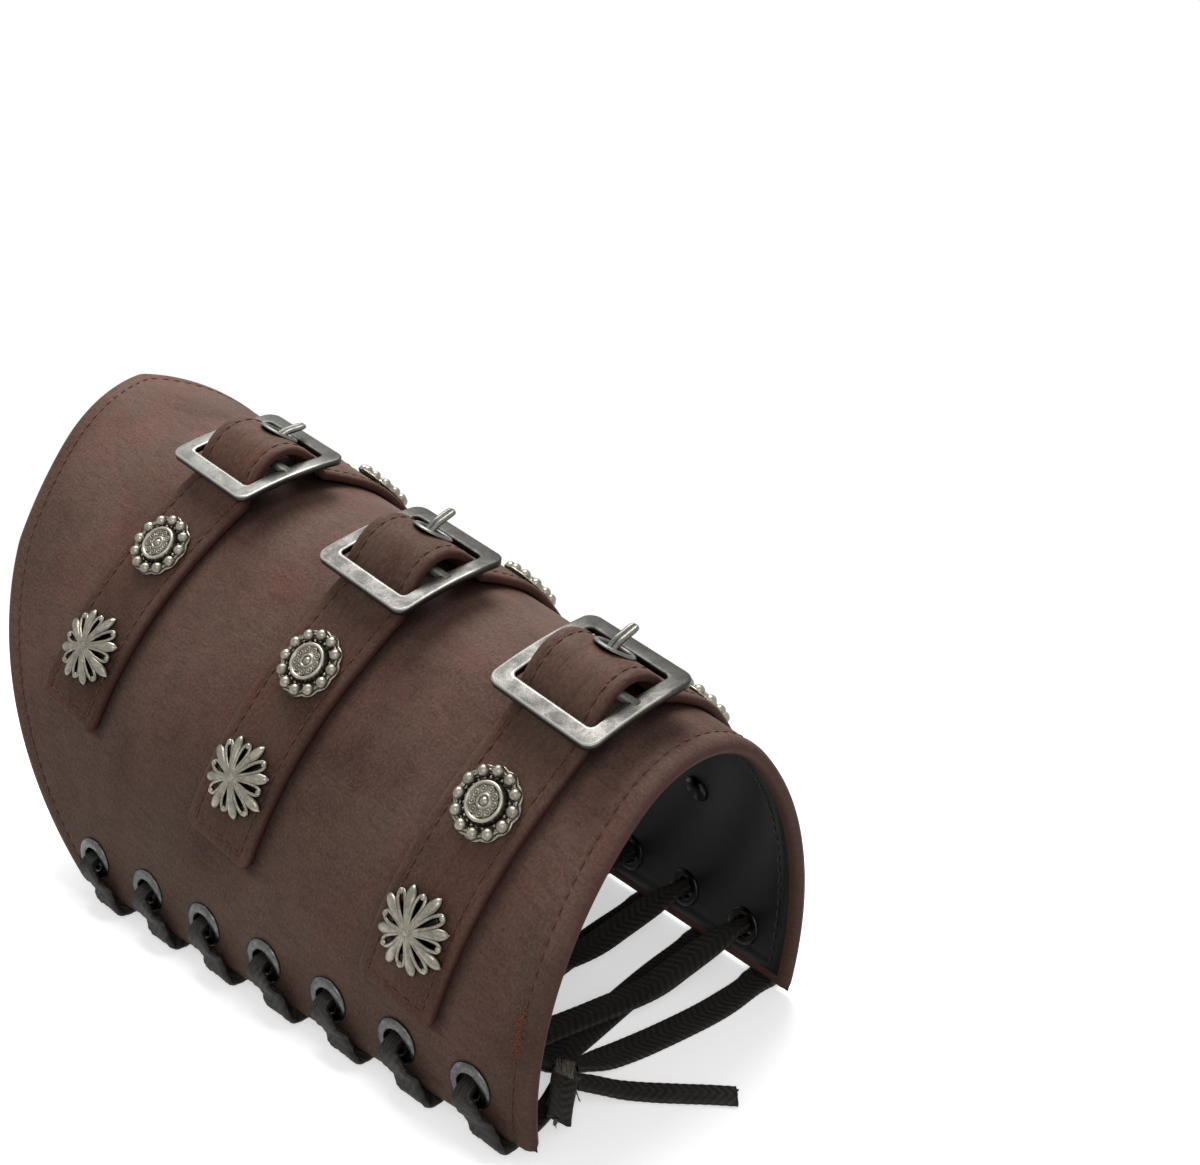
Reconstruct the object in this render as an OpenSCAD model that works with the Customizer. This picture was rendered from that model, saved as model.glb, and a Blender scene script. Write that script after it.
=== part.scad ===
// Leather bracer: a forearm guard rolled from layered leather, with three buckled
// straps, cast studs and a lace through two rows of eyelets.
// Millimetres. +Y runs from the wrist to the elbow, +Z is up, and the origin is on the
// table under the middle of the leather. The bracer lies on its laced side.

/* [Leather shell] */
// Length along the table from the wrist rim to the peak of the elbow edge
body_length = 264; // [240:1:300]
// Distance from the wrist rim back to the tip of the cone that the top is rolled on
cone_length = 542.5; // [500:2.5:600]
// Height of that cone tip above the laced edges
tip_height = 9.9; // [8:0.1:12]
// Rise of the top line from wrist to elbow, in degrees
top_rise = 9; // [8.5:0.1:9.5]
// Half angle of the cone under the crown, in degrees
crown_cone = 4.09; // [3.9:0.01:4.3]
// Half angle of the wider cone under each side, in degrees
side_cone = 9.41; // [9:0.01:9.8]
// Turn of the crown to each side of the top line, in degrees
crown_turn = 41.5; // [38:0.5:45]
// Thickness of the outer leather
face_t = 1.4; // [1:0.1:2]
// Thickness of the stiffener inside
core_t = 1.8; // [1.2:0.1:2.4]
// Thickness of the lining
lining_t = 1.2; // [0.8:0.1:1.6]
// Width of outer leather turned over onto the inside, along every rim
flap_w = 8; // [5:0.5:10]

/* [Elbow edge] */
// Backward sweep of each half of the elbow edge, in degrees
peak_sweep = 19; // [15:0.5:23]
// Lean of the elbow edge at the crown, in degrees
peak_lean = 4; // [0:0.5:8]
// Distance along the table from the wrist rim to the lower elbow corner
corner_y = 181; // [175:1:190]
// Angle at which the edge leaves the lower elbow corner, in degrees
corner_angle = 49.7; // [46:0.1:54]
// Radius of the edge above the lower elbow corner
corner_r = 400; // [380:5:450]
// Height up to which that radius runs
corner_top = 110; // [100:1:115]

/* [Straps] */
// Distance of the wrist strap's centre line from the wrist rim, over the top
strap_wrist_y = 31.8; // [30:0.1:40]
// Distance of the middle strap's centre line
strap_middle_y = 104.1; // [95:0.1:110]
// Distance of the elbow strap's centre line
strap_elbow_y = 178.3; // [170:0.1:190]
// Offset of the straps' middle from the top line, towards the near side
strap_offset = -3.7; // [-8:0.1:8]
// Length of a strap over the skin, end to end
strap_length = 203.8; // [190:0.1:206]
// Width of a strap
strap_w = 27; // [24:0.5:28]
// Thickness of a strap
strap_t = 2.8; // [2.2:0.1:3]
// Cut corners at the ends of a strap
strap_chamfer = 2; // [1:0.1:3]

/* [Buckles] */
// Outer side of the square buckle frame
buckle_side = 38; // [37:0.5:40]
// Window along the strap
window_l = 27.6; // [27:0.1:28.5]
// Window across the strap
window_w = 28.4; // [28.2:0.1:29]
// Thickness of the frame
buckle_t = 2.2; // [1.8:0.1:2.4]
// Outer corner radius
buckle_corner = 3.6; // [2:0.1:5]
// Window corner radius
window_corner = 1.6; // [0.8:0.1:3]
// Rise of the arched frame from its ends to its middle
buckle_arch = 1.5; // [0.8:0.1:1.8]
// Height of the hinge bar's centre above the skin
buckle_h = 9.2; // [8.8:0.1:9.6]
// Distance from a strap's middle to its buckle's middle, towards the near side
buckle_offset = -7.2; // [-12:0.1:0]
// Diameter of the hinge bar across the window
bar_d = 3; // [2.4:0.1:3]
// Height of the strap's crest above the hinge bar's centre
hump_crest = 7; // [6.8:0.1:7.6]
// Half length of the strap's hump over the hinge bar
hump_half = 13.7; // [13:0.1:14]
// Distance of the hump's crest from the hinge bar, towards the prong's tip
hump_shift = 0.3; // [0:0.1:0.4]
// Lift of the strap's foot under the frame
foot_lift = 3; // [2:0.1:3.2]
// Half length over which the foot comes down to the skin
foot_half = 30; // [26:0.5:31]

/* [Prongs] */
// Width of a prong
prong_w = 3.2; // [2.4:0.1:3.4]
// Thickness of a prong
prong_t = 1.6; // [1.2:0.1:1.8]
// Distance from the hinge axis to the tip of the prong
prong_reach = 18.6; // [17:0.1:20]
// Height of the shank's middle above the hinge axis
prong_rise = 0.9; // [0.6:0.1:1.2]
// Distance from the hinge axis to the bend in the shank
prong_bend_at = 11.5; // [9:0.5:13]
// Bend of the tip towards the frame, in degrees
prong_bend = 18; // [4:1:22]
// Radius of the eye round the hinge bar
prong_eye_r = 2.7; // [2.6:0.1:3]
// Angle of the elbow strap's prong over the frame, in degrees
prong_elbow_angle = 15; // [13:0.5:32]
// Angle of the middle strap's prong
prong_middle_angle = 30; // [13:0.5:32]
// Angle of the wrist strap's prong
prong_wrist_angle = 28; // [13:0.5:31]
// Radial running clearance of the eye on the bar
hinge_gap = 0.06; // [0.04:0.01:0.1]

/* [Strap eyelets] */
// Distance of the strap eyelet from the hinge bar, along the skin
grommet_at = 5.8; // [5.5:0.1:6.1]
// Outer diameter of the strap eyelet
grommet_d = 12.6; // [11:0.1:13]
// Bore of the strap eyelet
grommet_bore = 9.2; // [8.8:0.1:9.6]
// Wall of the strap eyelet's barrel
grommet_wall = 0.5; // [0.3:0.05:0.6]
// Thickness of the strap eyelet's rim
grommet_t = 0.8; // [0.5:0.1:1]

/* [Studs] */
// Distance of the inner studs, the rosettes, from a strap's middle
rosette_at = 44.3; // [42:0.1:50]
// Distance of the outer studs, the stars, from the ends of a strap
star_from_end = 21.8; // [15:0.1:24]
// Outer diameter of a rosette over its beads
rosette_d = 20.4; // [19:0.1:22]
// Number of beads round a rosette
bead_count = 12; // [10:1:13]
// Diameter of a bead
bead_d = 3.8; // [3:0.1:4]
// Diameter of a rosette's raised disc
boss_d = 11; // [9:0.1:11.5]
// Height of a rosette's raised disc
boss_h = 3; // [2:0.1:4]
// Outer diameter of a star
star_d = 24.2; // [20:0.1:26]
// Number of ribs on a star, long and short in turn
rib_count = 16; // [12:2:18]
// Height of a star's ribs at the middle
rib_h = 4.2; // [3.4:0.1:5]
// Diameter of a stud's rivet post
post_d = 3; // [2.4:0.1:3.4]
// Diameter of the rivet caps on the inside
cap_d = 9; // [8:0.1:10]
// Height of the rivet caps
cap_h = 2.2; // [1.6:0.1:2.6]

/* [Edge eyelets] */
// Number of eyelets along each laced edge
eyelet_count = 7; // [5:1:7]
// Distance of the first eyelet from the wrist rim
eyelet_first = 15.45; // [14:0.05:18]
// Spacing of the eyelets along the edge
eyelet_pitch = 25.57; // [24:0.01:25.6]
// Angle of the eyelet row from the top line in the flat leather, in degrees
eyelet_angle = 11.57; // [11.4:0.01:11.6]
// Outer diameter of an eyelet
eyelet_d = 13.5; // [12.5:0.1:14]
// Bore of an eyelet
eyelet_bore = 7; // [7:0.1:7.4]
// Wall of an eyelet's barrel
eyelet_wall = 0.7; // [0.5:0.05:0.9]
// Thickness of an eyelet's rim
eyelet_t = 1.1; // [0.8:0.1:1.2]
// Diameter of the washer behind an eyelet
washer_d = 12; // [11:0.1:13]
// Thickness of that washer
washer_t = 0.8; // [0.5:0.1:1]

/* [Lace] */
// Width of the flat lace where it lies free
lace_w = 7.6; // [7:0.1:7.8]
// Thickness of the flat lace
lace_t = 1.6; // [1.4:0.1:1.7]
// Width of the lace gathered up in an eyelet
lace_hole_w = 5; // [4:0.1:5.2]
// Thickness of the lace gathered up in an eyelet
lace_hole_t = 2.8; // [2:0.1:3]
// Thickness of the lace bunched up under the leather edge
lace_under_t = 2.4; // [2:0.1:2.6]
// Width of the lace's free ends
tail_w = 7; // [6:0.1:7.6]

/* [Fits] */
// Gap between a hole in leather and the metal in it, on the radius
hole_gap = 0.1; // [0.05:0.01:0.2]
// Gap between pieces that lie on each other
seat_gap = 0.05; // [0.03:0.01:0.1]
// Gap between the leather edge and the lace that carries it
lace_gap = 0.2; // [0.1:0.05:0.4]

/* [Hidden] */
$fn = 48;

leather_colour = [0.27, 0.17, 0.14];
core_colour = [0.45, 0.36, 0.27];
lining_colour = [0.05, 0.05, 0.055];
metal_colour = [0.55, 0.54, 0.5];
eyelet_colour = [0.3, 0.31, 0.32];
lace_colour = [0.09, 0.08, 0.075];

body_t = face_t + core_t + lining_t;
floor_cut = lace_under_t / 10;
edge_lift = lace_under_t - floor_cut + lace_gap;
strap_seat = seat_gap;
strap_top = strap_seat + strap_t;

// The rolled leather is a narrow cone over the crown that passes smoothly into a wider
// cone on each side. Flat leather lies round flat_r, the distance to the cone tip.
flat_r = cone_length / cos(top_rise);
crown_flat = crown_turn * sin(crown_cone);

// Vector turned about X, and about Y
function about_x(a, v) = [v.x, v.y * cos(a) - v.z * sin(a), v.y * sin(a) + v.z * cos(a)];
function about_y(a, v) = [v.x * cos(a) + v.z * sin(a), v.y, v.z * cos(a) - v.x * sin(a)];

// Flat leather: x across from the top line, y along it from the wrist rim
function polar(x, y) = atan2(x, y + flat_r);
function reach(x, y) = norm([x, y + flat_r]);
function crown_part(p) = sign(p) * min(abs(p), crown_flat) / sin(crown_cone);
function side_part(p) = sign(p) * max(0, abs(p) - crown_flat) / sin(side_cone);

// Vector in the frame of the skin at polar angle p, turned into the part's frame
function polar_turn(p, v) =
    about_x(top_rise - crown_cone, about_y(crown_part(p),
    about_x(crown_cone - side_cone, about_y(side_part(p), about_x(side_cone, v)))));
cone_tip = [0, -cone_length - body_length / 2, tip_height + edge_lift];
peak_z = cone_tip.z + (body_length + cone_length) * tan(top_rise);
corner_centre = [corner_y - body_length / 2 - corner_r * sin(corner_angle),
    edge_lift + corner_r * cos(corner_angle)];
function skin_point(x, y, h) = cone_tip + polar_turn(polar(x, y), [0, reach(x, y), h]);
function skin_normal(x, y) = polar_turn(polar(x, y), [0, 0, 1]);
function skin_radius(x, y) =
    abs(polar(x, y)) > crown_flat ? reach(x, y) * sin(side_cone) : reach(x, y) * sin(crown_cone);

// Puts children on the skin at a flat place, with +Z out of it and +X across the bracer
module on_skin(x, y, h = 0) {
    p = polar(x, y);
    translate(cone_tip)
        rotate([top_rise - crown_cone, 0, 0]) rotate([0, crown_part(p), 0])
        rotate([crown_cone - side_cone, 0, 0]) rotate([0, side_part(p), 0])
        rotate([side_cone, 0, 0]) translate([0, reach(x, y), h]) rotate([0, 0, p])
        children();
}

// Closed skin over a row of rings that hold the same number of points
module swept(rings) {
    n = len(rings[0]);
    last = len(rings) - 1;
    points = [for (ring = rings, p = ring) p];
    walls = [for (i = [0:last - 1], j = [0:n - 1], half = [0, 1])
        let (a = i * n + j, b = i * n + (j + 1) % n)
        half == 0 ? [a, b, b + n] : [a, b + n, a + n]];
    ends = [[for (j = [n - 1:-1:0]) j], [for (j = [0:n - 1]) last * n + j]];
    polyhedron(points, concat(walls, ends), convexity = 6);
}

// Distance from the cone tip, along polar angle p at height h, to each edge of the leather.
// The edges are plane cuts, drawn in by inset: the wrist rim, the two halves of the elbow
// edge that meet in a peak, and a long curve down to each lower elbow corner.
peak = [0, body_length / 2, peak_z];
function wrist_reach(p, h, inset) = let (w = polar_turn(p, [0, 1, 0]), n = polar_turn(p, [0, 0, 1]))
    (inset - body_length / 2 - cone_tip.y - n.y * h) / w.y;
function peak_reach(p, h, inset) = let (
    w = polar_turn(p, [0, 1, 0]),
    n = polar_turn(p, [0, 0, 1]),
    out = [(p < 0 ? -1 : 1) * sin(peak_sweep) * cos(peak_lean), cos(peak_sweep) * cos(peak_lean),
        -sin(peak_lean)])
    ((peak - cone_tip) * out - inset - h * (n * out)) / (w * out);
function corner_reach(p, h, inset) = let (
    w = polar_turn(p, [0, 1, 0]),
    n = polar_turn(p, [0, 0, 1]),
    q = [cone_tip.y + n.y * h, cone_tip.z + n.z * h] - corner_centre,
    a = w.y * w.y + w.z * w.z,
    b = 2 * (q.x * w.y + q.y * w.z),
    c = q * q - pow(corner_r - inset, 2))
    (sqrt(b * b - 4 * a * c) - b) / (2 * a);
function elbow_reach(p, h, inset) = let (
    r = corner_reach(p, h, inset),
    z = cone_tip.z + polar_turn(p, [0, r, h]).z)
    z < corner_top + edge_lift ? min(r, peak_reach(p, h, inset)) : peak_reach(p, h, inset);

// Rolled sheet between heights low and high over the skin, in steps round its section
crown_steps = 28;
side_steps = 22;
side_turn = 66;
side_flat = crown_flat + side_turn * sin(side_cone);
sheet_angles = concat(
    [for (i = [side_steps:-1:1]) -crown_flat - (side_flat - crown_flat) * i / side_steps],
    [for (i = [-crown_steps / 2:crown_steps / 2]) 2 * crown_flat * i / crown_steps],
    [for (i = [1:side_steps]) crown_flat + (side_flat - crown_flat) * i / side_steps]);
function edge_point(p, h, inset, elbow) =
    cone_tip + polar_turn(p, [0, elbow ? elbow_reach(p, h, inset) : wrist_reach(p, h, inset), h]);
function sheet_ring(p, low, high, inset) = [edge_point(p, high, inset, false),
    edge_point(p, high, inset, true), edge_point(p, low, inset, true), edge_point(p, low, inset, false)];

// Section of the outer leather: a sheet turned over at both rims, with a flap on the inside
under_core = -face_t - core_t;
function face_ring(p) = concat(
    [for (q = [[0, -body_t], [flap_w, -body_t], [flap_w, under_core], [face_t, under_core],
        [face_t, -face_t]]) edge_point(p, q[1], q[0], true)],
    [for (q = [[face_t, -face_t], [face_t, under_core], [flap_w, under_core], [flap_w, -body_t],
        [0, -body_t], [0, 0]]) edge_point(p, q[1], q[0], false)],
    [edge_point(p, 0, 0, true)]);

// Everything above the laced edge, drawn in by inset
big = 400;
module above_edge(inset) {
    translate([-big / 2, -big / 2, edge_lift + inset]) cube(big);
}
module inner_layer(low, high, inset) {
    intersection() {
        swept([for (p = sheet_angles) sheet_ring(p, low, high, inset)]);
        above_edge(face_t + seat_gap);
    }
}

// Flat places of everything on the straps: [x, y] for a strap at y
strap_half = strap_length / 2;
star_at = strap_half - star_from_end;
buckle_x = strap_offset + buckle_offset;
strap_places = [["elbow", strap_elbow_y], ["middle", strap_middle_y], ["wrist", strap_wrist_y]];
function stud_places(y) = [for (s = [-1, 1], d = [rosette_at, star_at])
    [strap_offset + s * d, y]];
function eyelet_reach(k) = flat_r + eyelet_first + k * eyelet_pitch;
function eyelet_x(side, k) = side * eyelet_reach(k) * sin(eyelet_angle);
function eyelet_y(k) = eyelet_reach(k) * cos(eyelet_angle) - flat_r;
eyelet_barrel_r = eyelet_bore / 2 + eyelet_wall;

module leather_holes() {
    for (side = [-1, 1], k = [0:eyelet_count - 1])
        on_skin(eyelet_x(side, k), eyelet_y(k))
            cylinder(r = eyelet_barrel_r + hole_gap, h = 4 * body_t, center = true);
    for (place = strap_places, p = stud_places(place[1]))
        on_skin(p.x, p.y)
            cylinder(r = post_d / 2 + hole_gap, h = 4 * body_t, center = true);
}

// Leather pieces
module outer_leather() {
    color(leather_colour) difference() {
        intersection() {
            swept([for (p = sheet_angles) face_ring(p)]);
            above_edge(0);
        }
        leather_holes();
    }
}
module stiffener() {
    color(core_colour) difference() {
        inner_layer(under_core + seat_gap, -face_t - seat_gap, face_t + seat_gap);
        leather_holes();
    }
}
module lining() {
    color(lining_colour) difference() {
        inner_layer(-body_t, under_core - seat_gap, flap_w + seat_gap);
        leather_holes();
    }
}

// Height of a strap's middle above the skin, at distance u from its buckle's middle. The
// hump is a wave that ends under the frame's bars, and the foot runs out smoothly.
hump_lift = hump_crest + buckle_h - strap_top;
hump_power = 1;
foot_power = 2;
function bell(u, half, power) = abs(u) < half ? pow(cos(90 * u / half), power) : 0;
function strap_lift(u) = foot_lift * bell(u, foot_half, foot_power)
    + (hump_lift - foot_lift) * bell(u - hump_shift, hump_half, hump_power);
function strap_mid(u) = strap_seat + strap_t / 2 + strap_lift(u);

// Slope of a strap against the skin under it. A raised strap is longer than the skin.
function strap_slope(u, y) = atan(50 * (strap_lift(u + 0.01) - strap_lift(u - 0.01))
    / (1 + strap_mid(u) / skin_radius(buckle_x + u, y)));

// Places along a strap: close steps over the hump, wider ones elsewhere
hump_step = 1.25;
skin_step = 3;
hump_left = buckle_x - 1.2 * hump_half;
hump_right = buckle_x + 1.2 * hump_half;
strap_first = strap_offset - strap_half;
strap_last = strap_offset + strap_half;
function steps(a, b, step) = let (n = ceil((b - a) / step)) [for (i = [0:n - 1]) a + (b - a) * i / n];
strap_stations = concat([strap_first], steps(strap_first + strap_chamfer, hump_left, skin_step),
    steps(hump_left, hump_right, hump_step), steps(hump_right, strap_last - strap_chamfer, skin_step),
    [strap_last - strap_chamfer, strap_last]);
function strap_ring(x, y) = let (
    end = min(x - strap_first, strap_last - x),
    half = strap_w / 2 - max(0, strap_chamfer - end),
    slope = strap_slope(x - buckle_x, y),
    mid = strap_mid(x - buckle_x),
    rise = strap_t / 2 * cos(slope),
    back = strap_t / 2 * sin(slope) / (1 + mid / skin_radius(x, y)))
    [skin_point(x - back, y - half, mid + rise), skin_point(x - back, y + half, mid + rise),
     skin_point(x + back, y + half, mid - rise), skin_point(x + back, y - half, mid - rise)];

// Puts children on a strap's upper face at distance u from its buckle's middle
module on_strap(u, y) {
    on_skin(buckle_x + u, y, strap_mid(u)) rotate([0, -strap_slope(u, y), 0])
        translate([0, 0, strap_t / 2]) children();
}

module strap(y) {
    color(leather_colour) difference() {
        swept([for (x = strap_stations) strap_ring(x, y)]);
        for (p = stud_places(y)) on_skin(p.x, p.y)
            cylinder(r = post_d / 2 + hole_gap, h = 4 * strap_top, center = true);
        on_strap(grommet_at, y)
            cylinder(r = grommet_bore / 2 + grommet_wall + hole_gap, h = 3 * strap_t, center = true);
    }
}

module rounded_square(l, w, r) {
    translate([0, 0, -big / 2]) linear_extrude(big) union() {
        square([l - 2 * r, w], center = true);
        square([l, w - 2 * r], center = true);
        for (sx = [-1, 1], sy = [-1, 1]) translate([sx * (l / 2 - r), sy * (w / 2 - r)])
            circle(r = r, $fn = 32);
    }
}

// Buckle frame: an arched square plate with a window and a hinge bar across it
arch_r = pow(buckle_side / 2, 2) / (2 * buckle_arch) + buckle_arch / 2;
module buckle(y) {
    color(metal_colour) on_skin(buckle_x, y, buckle_h) {
        difference() {
            intersection() {
                translate([0, 0, -arch_r]) rotate([90, 0, 0])
                    cylinder(r = arch_r + buckle_t / 2, h = buckle_side, center = true, $fn = 180);
                rounded_square(buckle_side, buckle_side, buckle_corner);
                translate([0, 0, arch_r / 2]) cube([big, big, 2 * arch_r], center = true);
            }
            translate([0, 0, -arch_r]) rotate([90, 0, 0])
                cylinder(r = arch_r - buckle_t / 2, h = 2 * buckle_side, center = true, $fn = 180);
            rounded_square(window_l, window_w, window_corner);
        }
        rotate([90, 0, 0])
            cylinder(d = bar_d, h = (buckle_side + window_w) / 2, center = true, $fn = 32);
    }
}

// Prong: an eye round the hinge bar and a flat shank whose tip bends down
module prong(y, angle) {
    color(metal_colour) on_skin(buckle_x, y, buckle_h) rotate([0, -angle, 0])
        rotate([90, 0, 0]) difference() {
            union() {
                cylinder(r = prong_eye_r, h = prong_w, center = true, $fn = 40);
                translate([0, prong_rise - prong_t / 2, -prong_w / 2])
                    cube([prong_bend_at, prong_t, prong_w]);
                translate([prong_bend_at, prong_rise + prong_t / 2, -prong_w / 2])
                    rotate([0, 0, -prong_bend]) translate([0, -prong_t, 0])
                    cube([prong_reach - prong_bend_at, prong_t, prong_w]);
            }
            cylinder(r = bar_d / 2 + hinge_gap, h = 2 * prong_w, center = true, $fn = 40);
        }
}

module strap_eyelet(y) {
    bore = grommet_bore / 2;
    rim = grommet_d / 2;
    color(metal_colour) on_strap(grommet_at, y) rotate_extrude(convexity = 4) polygon([
        [bore, -strap_t], [bore + grommet_wall, -strap_t], [bore + grommet_wall, seat_gap],
        [rim, seat_gap], [rim, seat_gap + 0.3 * grommet_t],
        [rim - 0.4 * grommet_t, seat_gap + grommet_t], [bore + 0.3 * grommet_t, seat_gap + grommet_t],
        [bore, seat_gap + 0.5 * grommet_t]]);
}

// Depth from the skin to the flat seat of a disc of diameter d on the hollow inside
function inside_seat(x, y, d) = body_t + seat_gap + d * d / (8 * (skin_radius(x, y) - body_t));
module stud_post(x, y) {
    translate([0, 0, -strap_top - seat_gap - inside_seat(x, y, cap_d)])
        cylinder(d = post_d, h = strap_top + 2 * seat_gap + inside_seat(x, y, cap_d), $fn = 32);
}

// Rosette: a beaded ring round a raised disc with a rim and a small boss
module rosette(x, y) {
    ring_r = (rosette_d - bead_d) / 2;
    boss_r = boss_d / 2;
    color(metal_colour) on_skin(x, y, strap_top + seat_gap) {
        stud_post(x, y);
        rotate_extrude() polygon([[0, 0], [ring_r + bead_d / 4, 0], [ring_r + bead_d / 4, 0.9],
            [boss_r + 1, 1.2], [boss_r + 0.5, boss_h - 1.2], [boss_r - 0.2, boss_h],
            [boss_r - 1, boss_h], [boss_r - 1.4, boss_h - 0.5], [boss_r / 3, boss_h - 0.3],
            [boss_r / 3, boss_h + 0.3], [boss_r / 6, boss_h + 0.5], [0, boss_h + 0.5]]);
        for (i = [0:bead_count - 1]) rotate([0, 0, i * 360 / bead_count])
            translate([ring_r, 0, bead_d / 3]) intersection() {
                sphere(d = bead_d, $fn = 24);
                translate([0, 0, bead_d / 2 - bead_d / 3]) cube(bead_d, center = true);
            }
    }
}

// One rib of a star: a roof that is widest past its middle and runs to a point
module rib(length, w, h) {
    wide = 0.66 * length;
    polyhedron([[0, 0, 0], [wide, w / 2, 0], [length, 0, 0], [wide, -w / 2, 0],
            [0, 0, h], [wide, 0, 0.7 * h], [length, 0, 0.2 * h]],
        [[0, 2, 1], [0, 3, 2], [0, 1, 4], [4, 1, 5], [1, 6, 5], [1, 2, 6],
         [0, 4, 3], [3, 4, 5], [3, 5, 6], [3, 6, 2]]);
}
module star(x, y) {
    color(metal_colour) on_skin(x, y, strap_top + seat_gap) {
        stud_post(x, y);
        cylinder(r1 = star_d * 0.36, r2 = star_d * 0.3, h = 0.3 * rib_h);
        cylinder(r1 = star_d * 0.15, r2 = star_d * 0.06, h = 1.06 * rib_h);
        for (i = [0:rib_count - 1]) rotate([0, 0, (i + 0.5) * 360 / rib_count])
            rib(i % 2 == 0 ? star_d / 2 : 0.43 * star_d, star_d * 0.11, rib_h);
    }
}

module rivet_caps(y) {
    color(eyelet_colour) for (p = stud_places(y))
        on_skin(p.x, p.y, -inside_seat(p.x, p.y, cap_d)) rotate([180, 0, 0])
            rotate_extrude() polygon([[0, 0], [cap_d / 2, 0], [cap_d / 2, cap_h / 4],
                [cap_d * 0.4, cap_h * 0.7], [cap_d * 0.22, cap_h], [0, cap_h]]);
}

// Eyelets of one laced edge: a rolled rim outside and a barrel through the leather
module eyelets(side) {
    bore = eyelet_bore / 2;
    rim = eyelet_d / 2;
    color(eyelet_colour) for (k = [0:eyelet_count - 1])
        on_skin(eyelet_x(side, k), eyelet_y(k), seat_gap) rotate_extrude() polygon([
            [bore, -body_t - seat_gap], [eyelet_barrel_r, -body_t - seat_gap], [eyelet_barrel_r, 0],
            [rim, 0], [rim, eyelet_t * 0.3], [rim - eyelet_t * 0.8, eyelet_t],
            [bore + eyelet_t * 0.8, eyelet_t], [bore, eyelet_t * 0.4]]);
}
module eyelet_washers(side) {
    color(eyelet_colour) for (k = [0:eyelet_count - 1])
        on_skin(eyelet_x(side, k), eyelet_y(k),
            -washer_t - inside_seat(eyelet_x(side, k), eyelet_y(k), washer_d))
            difference() {
                cylinder(d = washer_d, h = washer_t);
                cylinder(d = eyelet_bore, h = 3 * washer_t, center = true);
            }
}

// Lace. Each stop of its route is [point, width, thickness].
// Middle of the eyelet's bore, and the way out of it
function hole_point(side, k, out) =
    skin_point(eyelet_x(side, k), eyelet_y(k), 0) + out * skin_normal(eyelet_x(side, k), eyelet_y(k));

// One turn of lace: in through the eyelet, down outside, and under the leather edge
lace_fall = 7.8;
lace_inside = 9;
lace_inward = 10;
under_z = lace_under_t / 2 - floor_cut;
function outside_stop(side, k, out, z, back) = let (p = hole_point(side, k, 0))
    [p.x + side * out, p.y - back, z];
function lace_turn(side, k) = let (
    top = hole_point(side, k, 0).z,
    inside = -body_t - washer_t)
    [[hole_point(side, k, inside - lace_inside) - [0, 0, 1.2], lace_w - 0.6, lace_t],
     [hole_point(side, k, inside - 4), 6, 2.2],
     [hole_point(side, k, inside - 1), lace_hole_w, lace_hole_t],
     [hole_point(side, k, 1.5), lace_hole_w, lace_hole_t],
     [outside_stop(side, k, 3.1, top - 1.7, 0.6), 6.4, 2.4],
     [outside_stop(side, k, 2.5, top - 4.8, 2.2), 8.6, 2],
     [outside_stop(side, k, 0.9, top - 8, 4.6), 9, 2],
     [outside_stop(side, k, 0.4, 4.8, 6.2), 9, 2],
     [outside_stop(side, k, -0.2, 2.8, 7.2), 8.8, 2],
     [outside_stop(side, k, -1.4, 1.3, 7.6), 8.4, 2],
     [outside_stop(side, k, -3.6, under_z, lace_fall), 8, lace_under_t],
     [outside_stop(side, k, -6.6, under_z, lace_fall), 7.6, lace_under_t],
     [outside_stop(side, k, -lace_inward, under_z - 0.1, lace_fall + 0.3), 7.2, 2]];

// Crossing from under the edge at stop k to the inside of the next eyelet over the way.
// Laces that set off from the left pass over those from the right.
left_heights = [[-0.7, 2.6], [-0.45, 4.2], [0, 4.6], [0.4, 5.6], [0.62, 9]];
right_heights = [[-0.6, 0.9], [-0.2, 0.9], [0.25, 0.9], [0.5, 1.5], [0.62, 4.5], [0.74, 9]];
function lace_cross(side, k) = let (
    a = outside_stop(side, k, -lace_inward, under_z, lace_fall + 0.3),
    b = hole_point(-side, k - 1, -body_t - washer_t - lace_inside))
    [for (h = side < 0 ? left_heights : right_heights)
        [[-side * h[0] * (abs(a.x) + abs(b.x)) / 2, a.y + (b.y - a.y) * (h[0] + 1) / 2, h[1]],
         lace_w, lace_t]];

// First bar across the elbow end, inside
top_k = eyelet_count - 1;
function first_bar() = let (p = hole_point(1, top_k, -body_t - washer_t - lace_inside))
    [for (f = [-0.75, -0.4, 0, 0.4, 0.75])
        [[f * p.x, p.y, 3 + abs(f) * (p.z - 6)], lace_w, lace_t]];

// A strand starts at one side of the bar and zigzags down to the wrist
function strand(side) = [for (k = [top_k:-1:0])
    let (s = (top_k - k) % 2 == 0 ? side : -side)
    each concat(lace_turn(s, k), k > 0 ? lace_cross(s, k) : [])];

// Both strands run to the knot, inside the near wrist corner
knot_at = [-27, -117, 5];
knot_d = 8.6;
near_end = [[[-38, -120.4, 1.6], 6, 2.4], [[-30.6, -118, 4], 5, 2.4]];
far_end = [[[30, -121.4, 0.9], 7.6, 1.6], [[10, -119.6, 0.9], 7.6, 1.6], [[-5, -117.6, 1.2], 7.6, 1.6],
    [[-15, -116.4, 2.4], 7, 1.8], [[-23, -115.6, 4.5], 5, 2.2]];
function backwards(list) = [for (i = [len(list) - 1:-1:0]) list[i]];
near_strand = top_k % 2 == 0 ? -1 : 1;
lace_route = concat(backwards(concat(strand(near_strand), near_end)), first_bar(),
    concat(strand(-near_strand), far_end));

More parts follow.
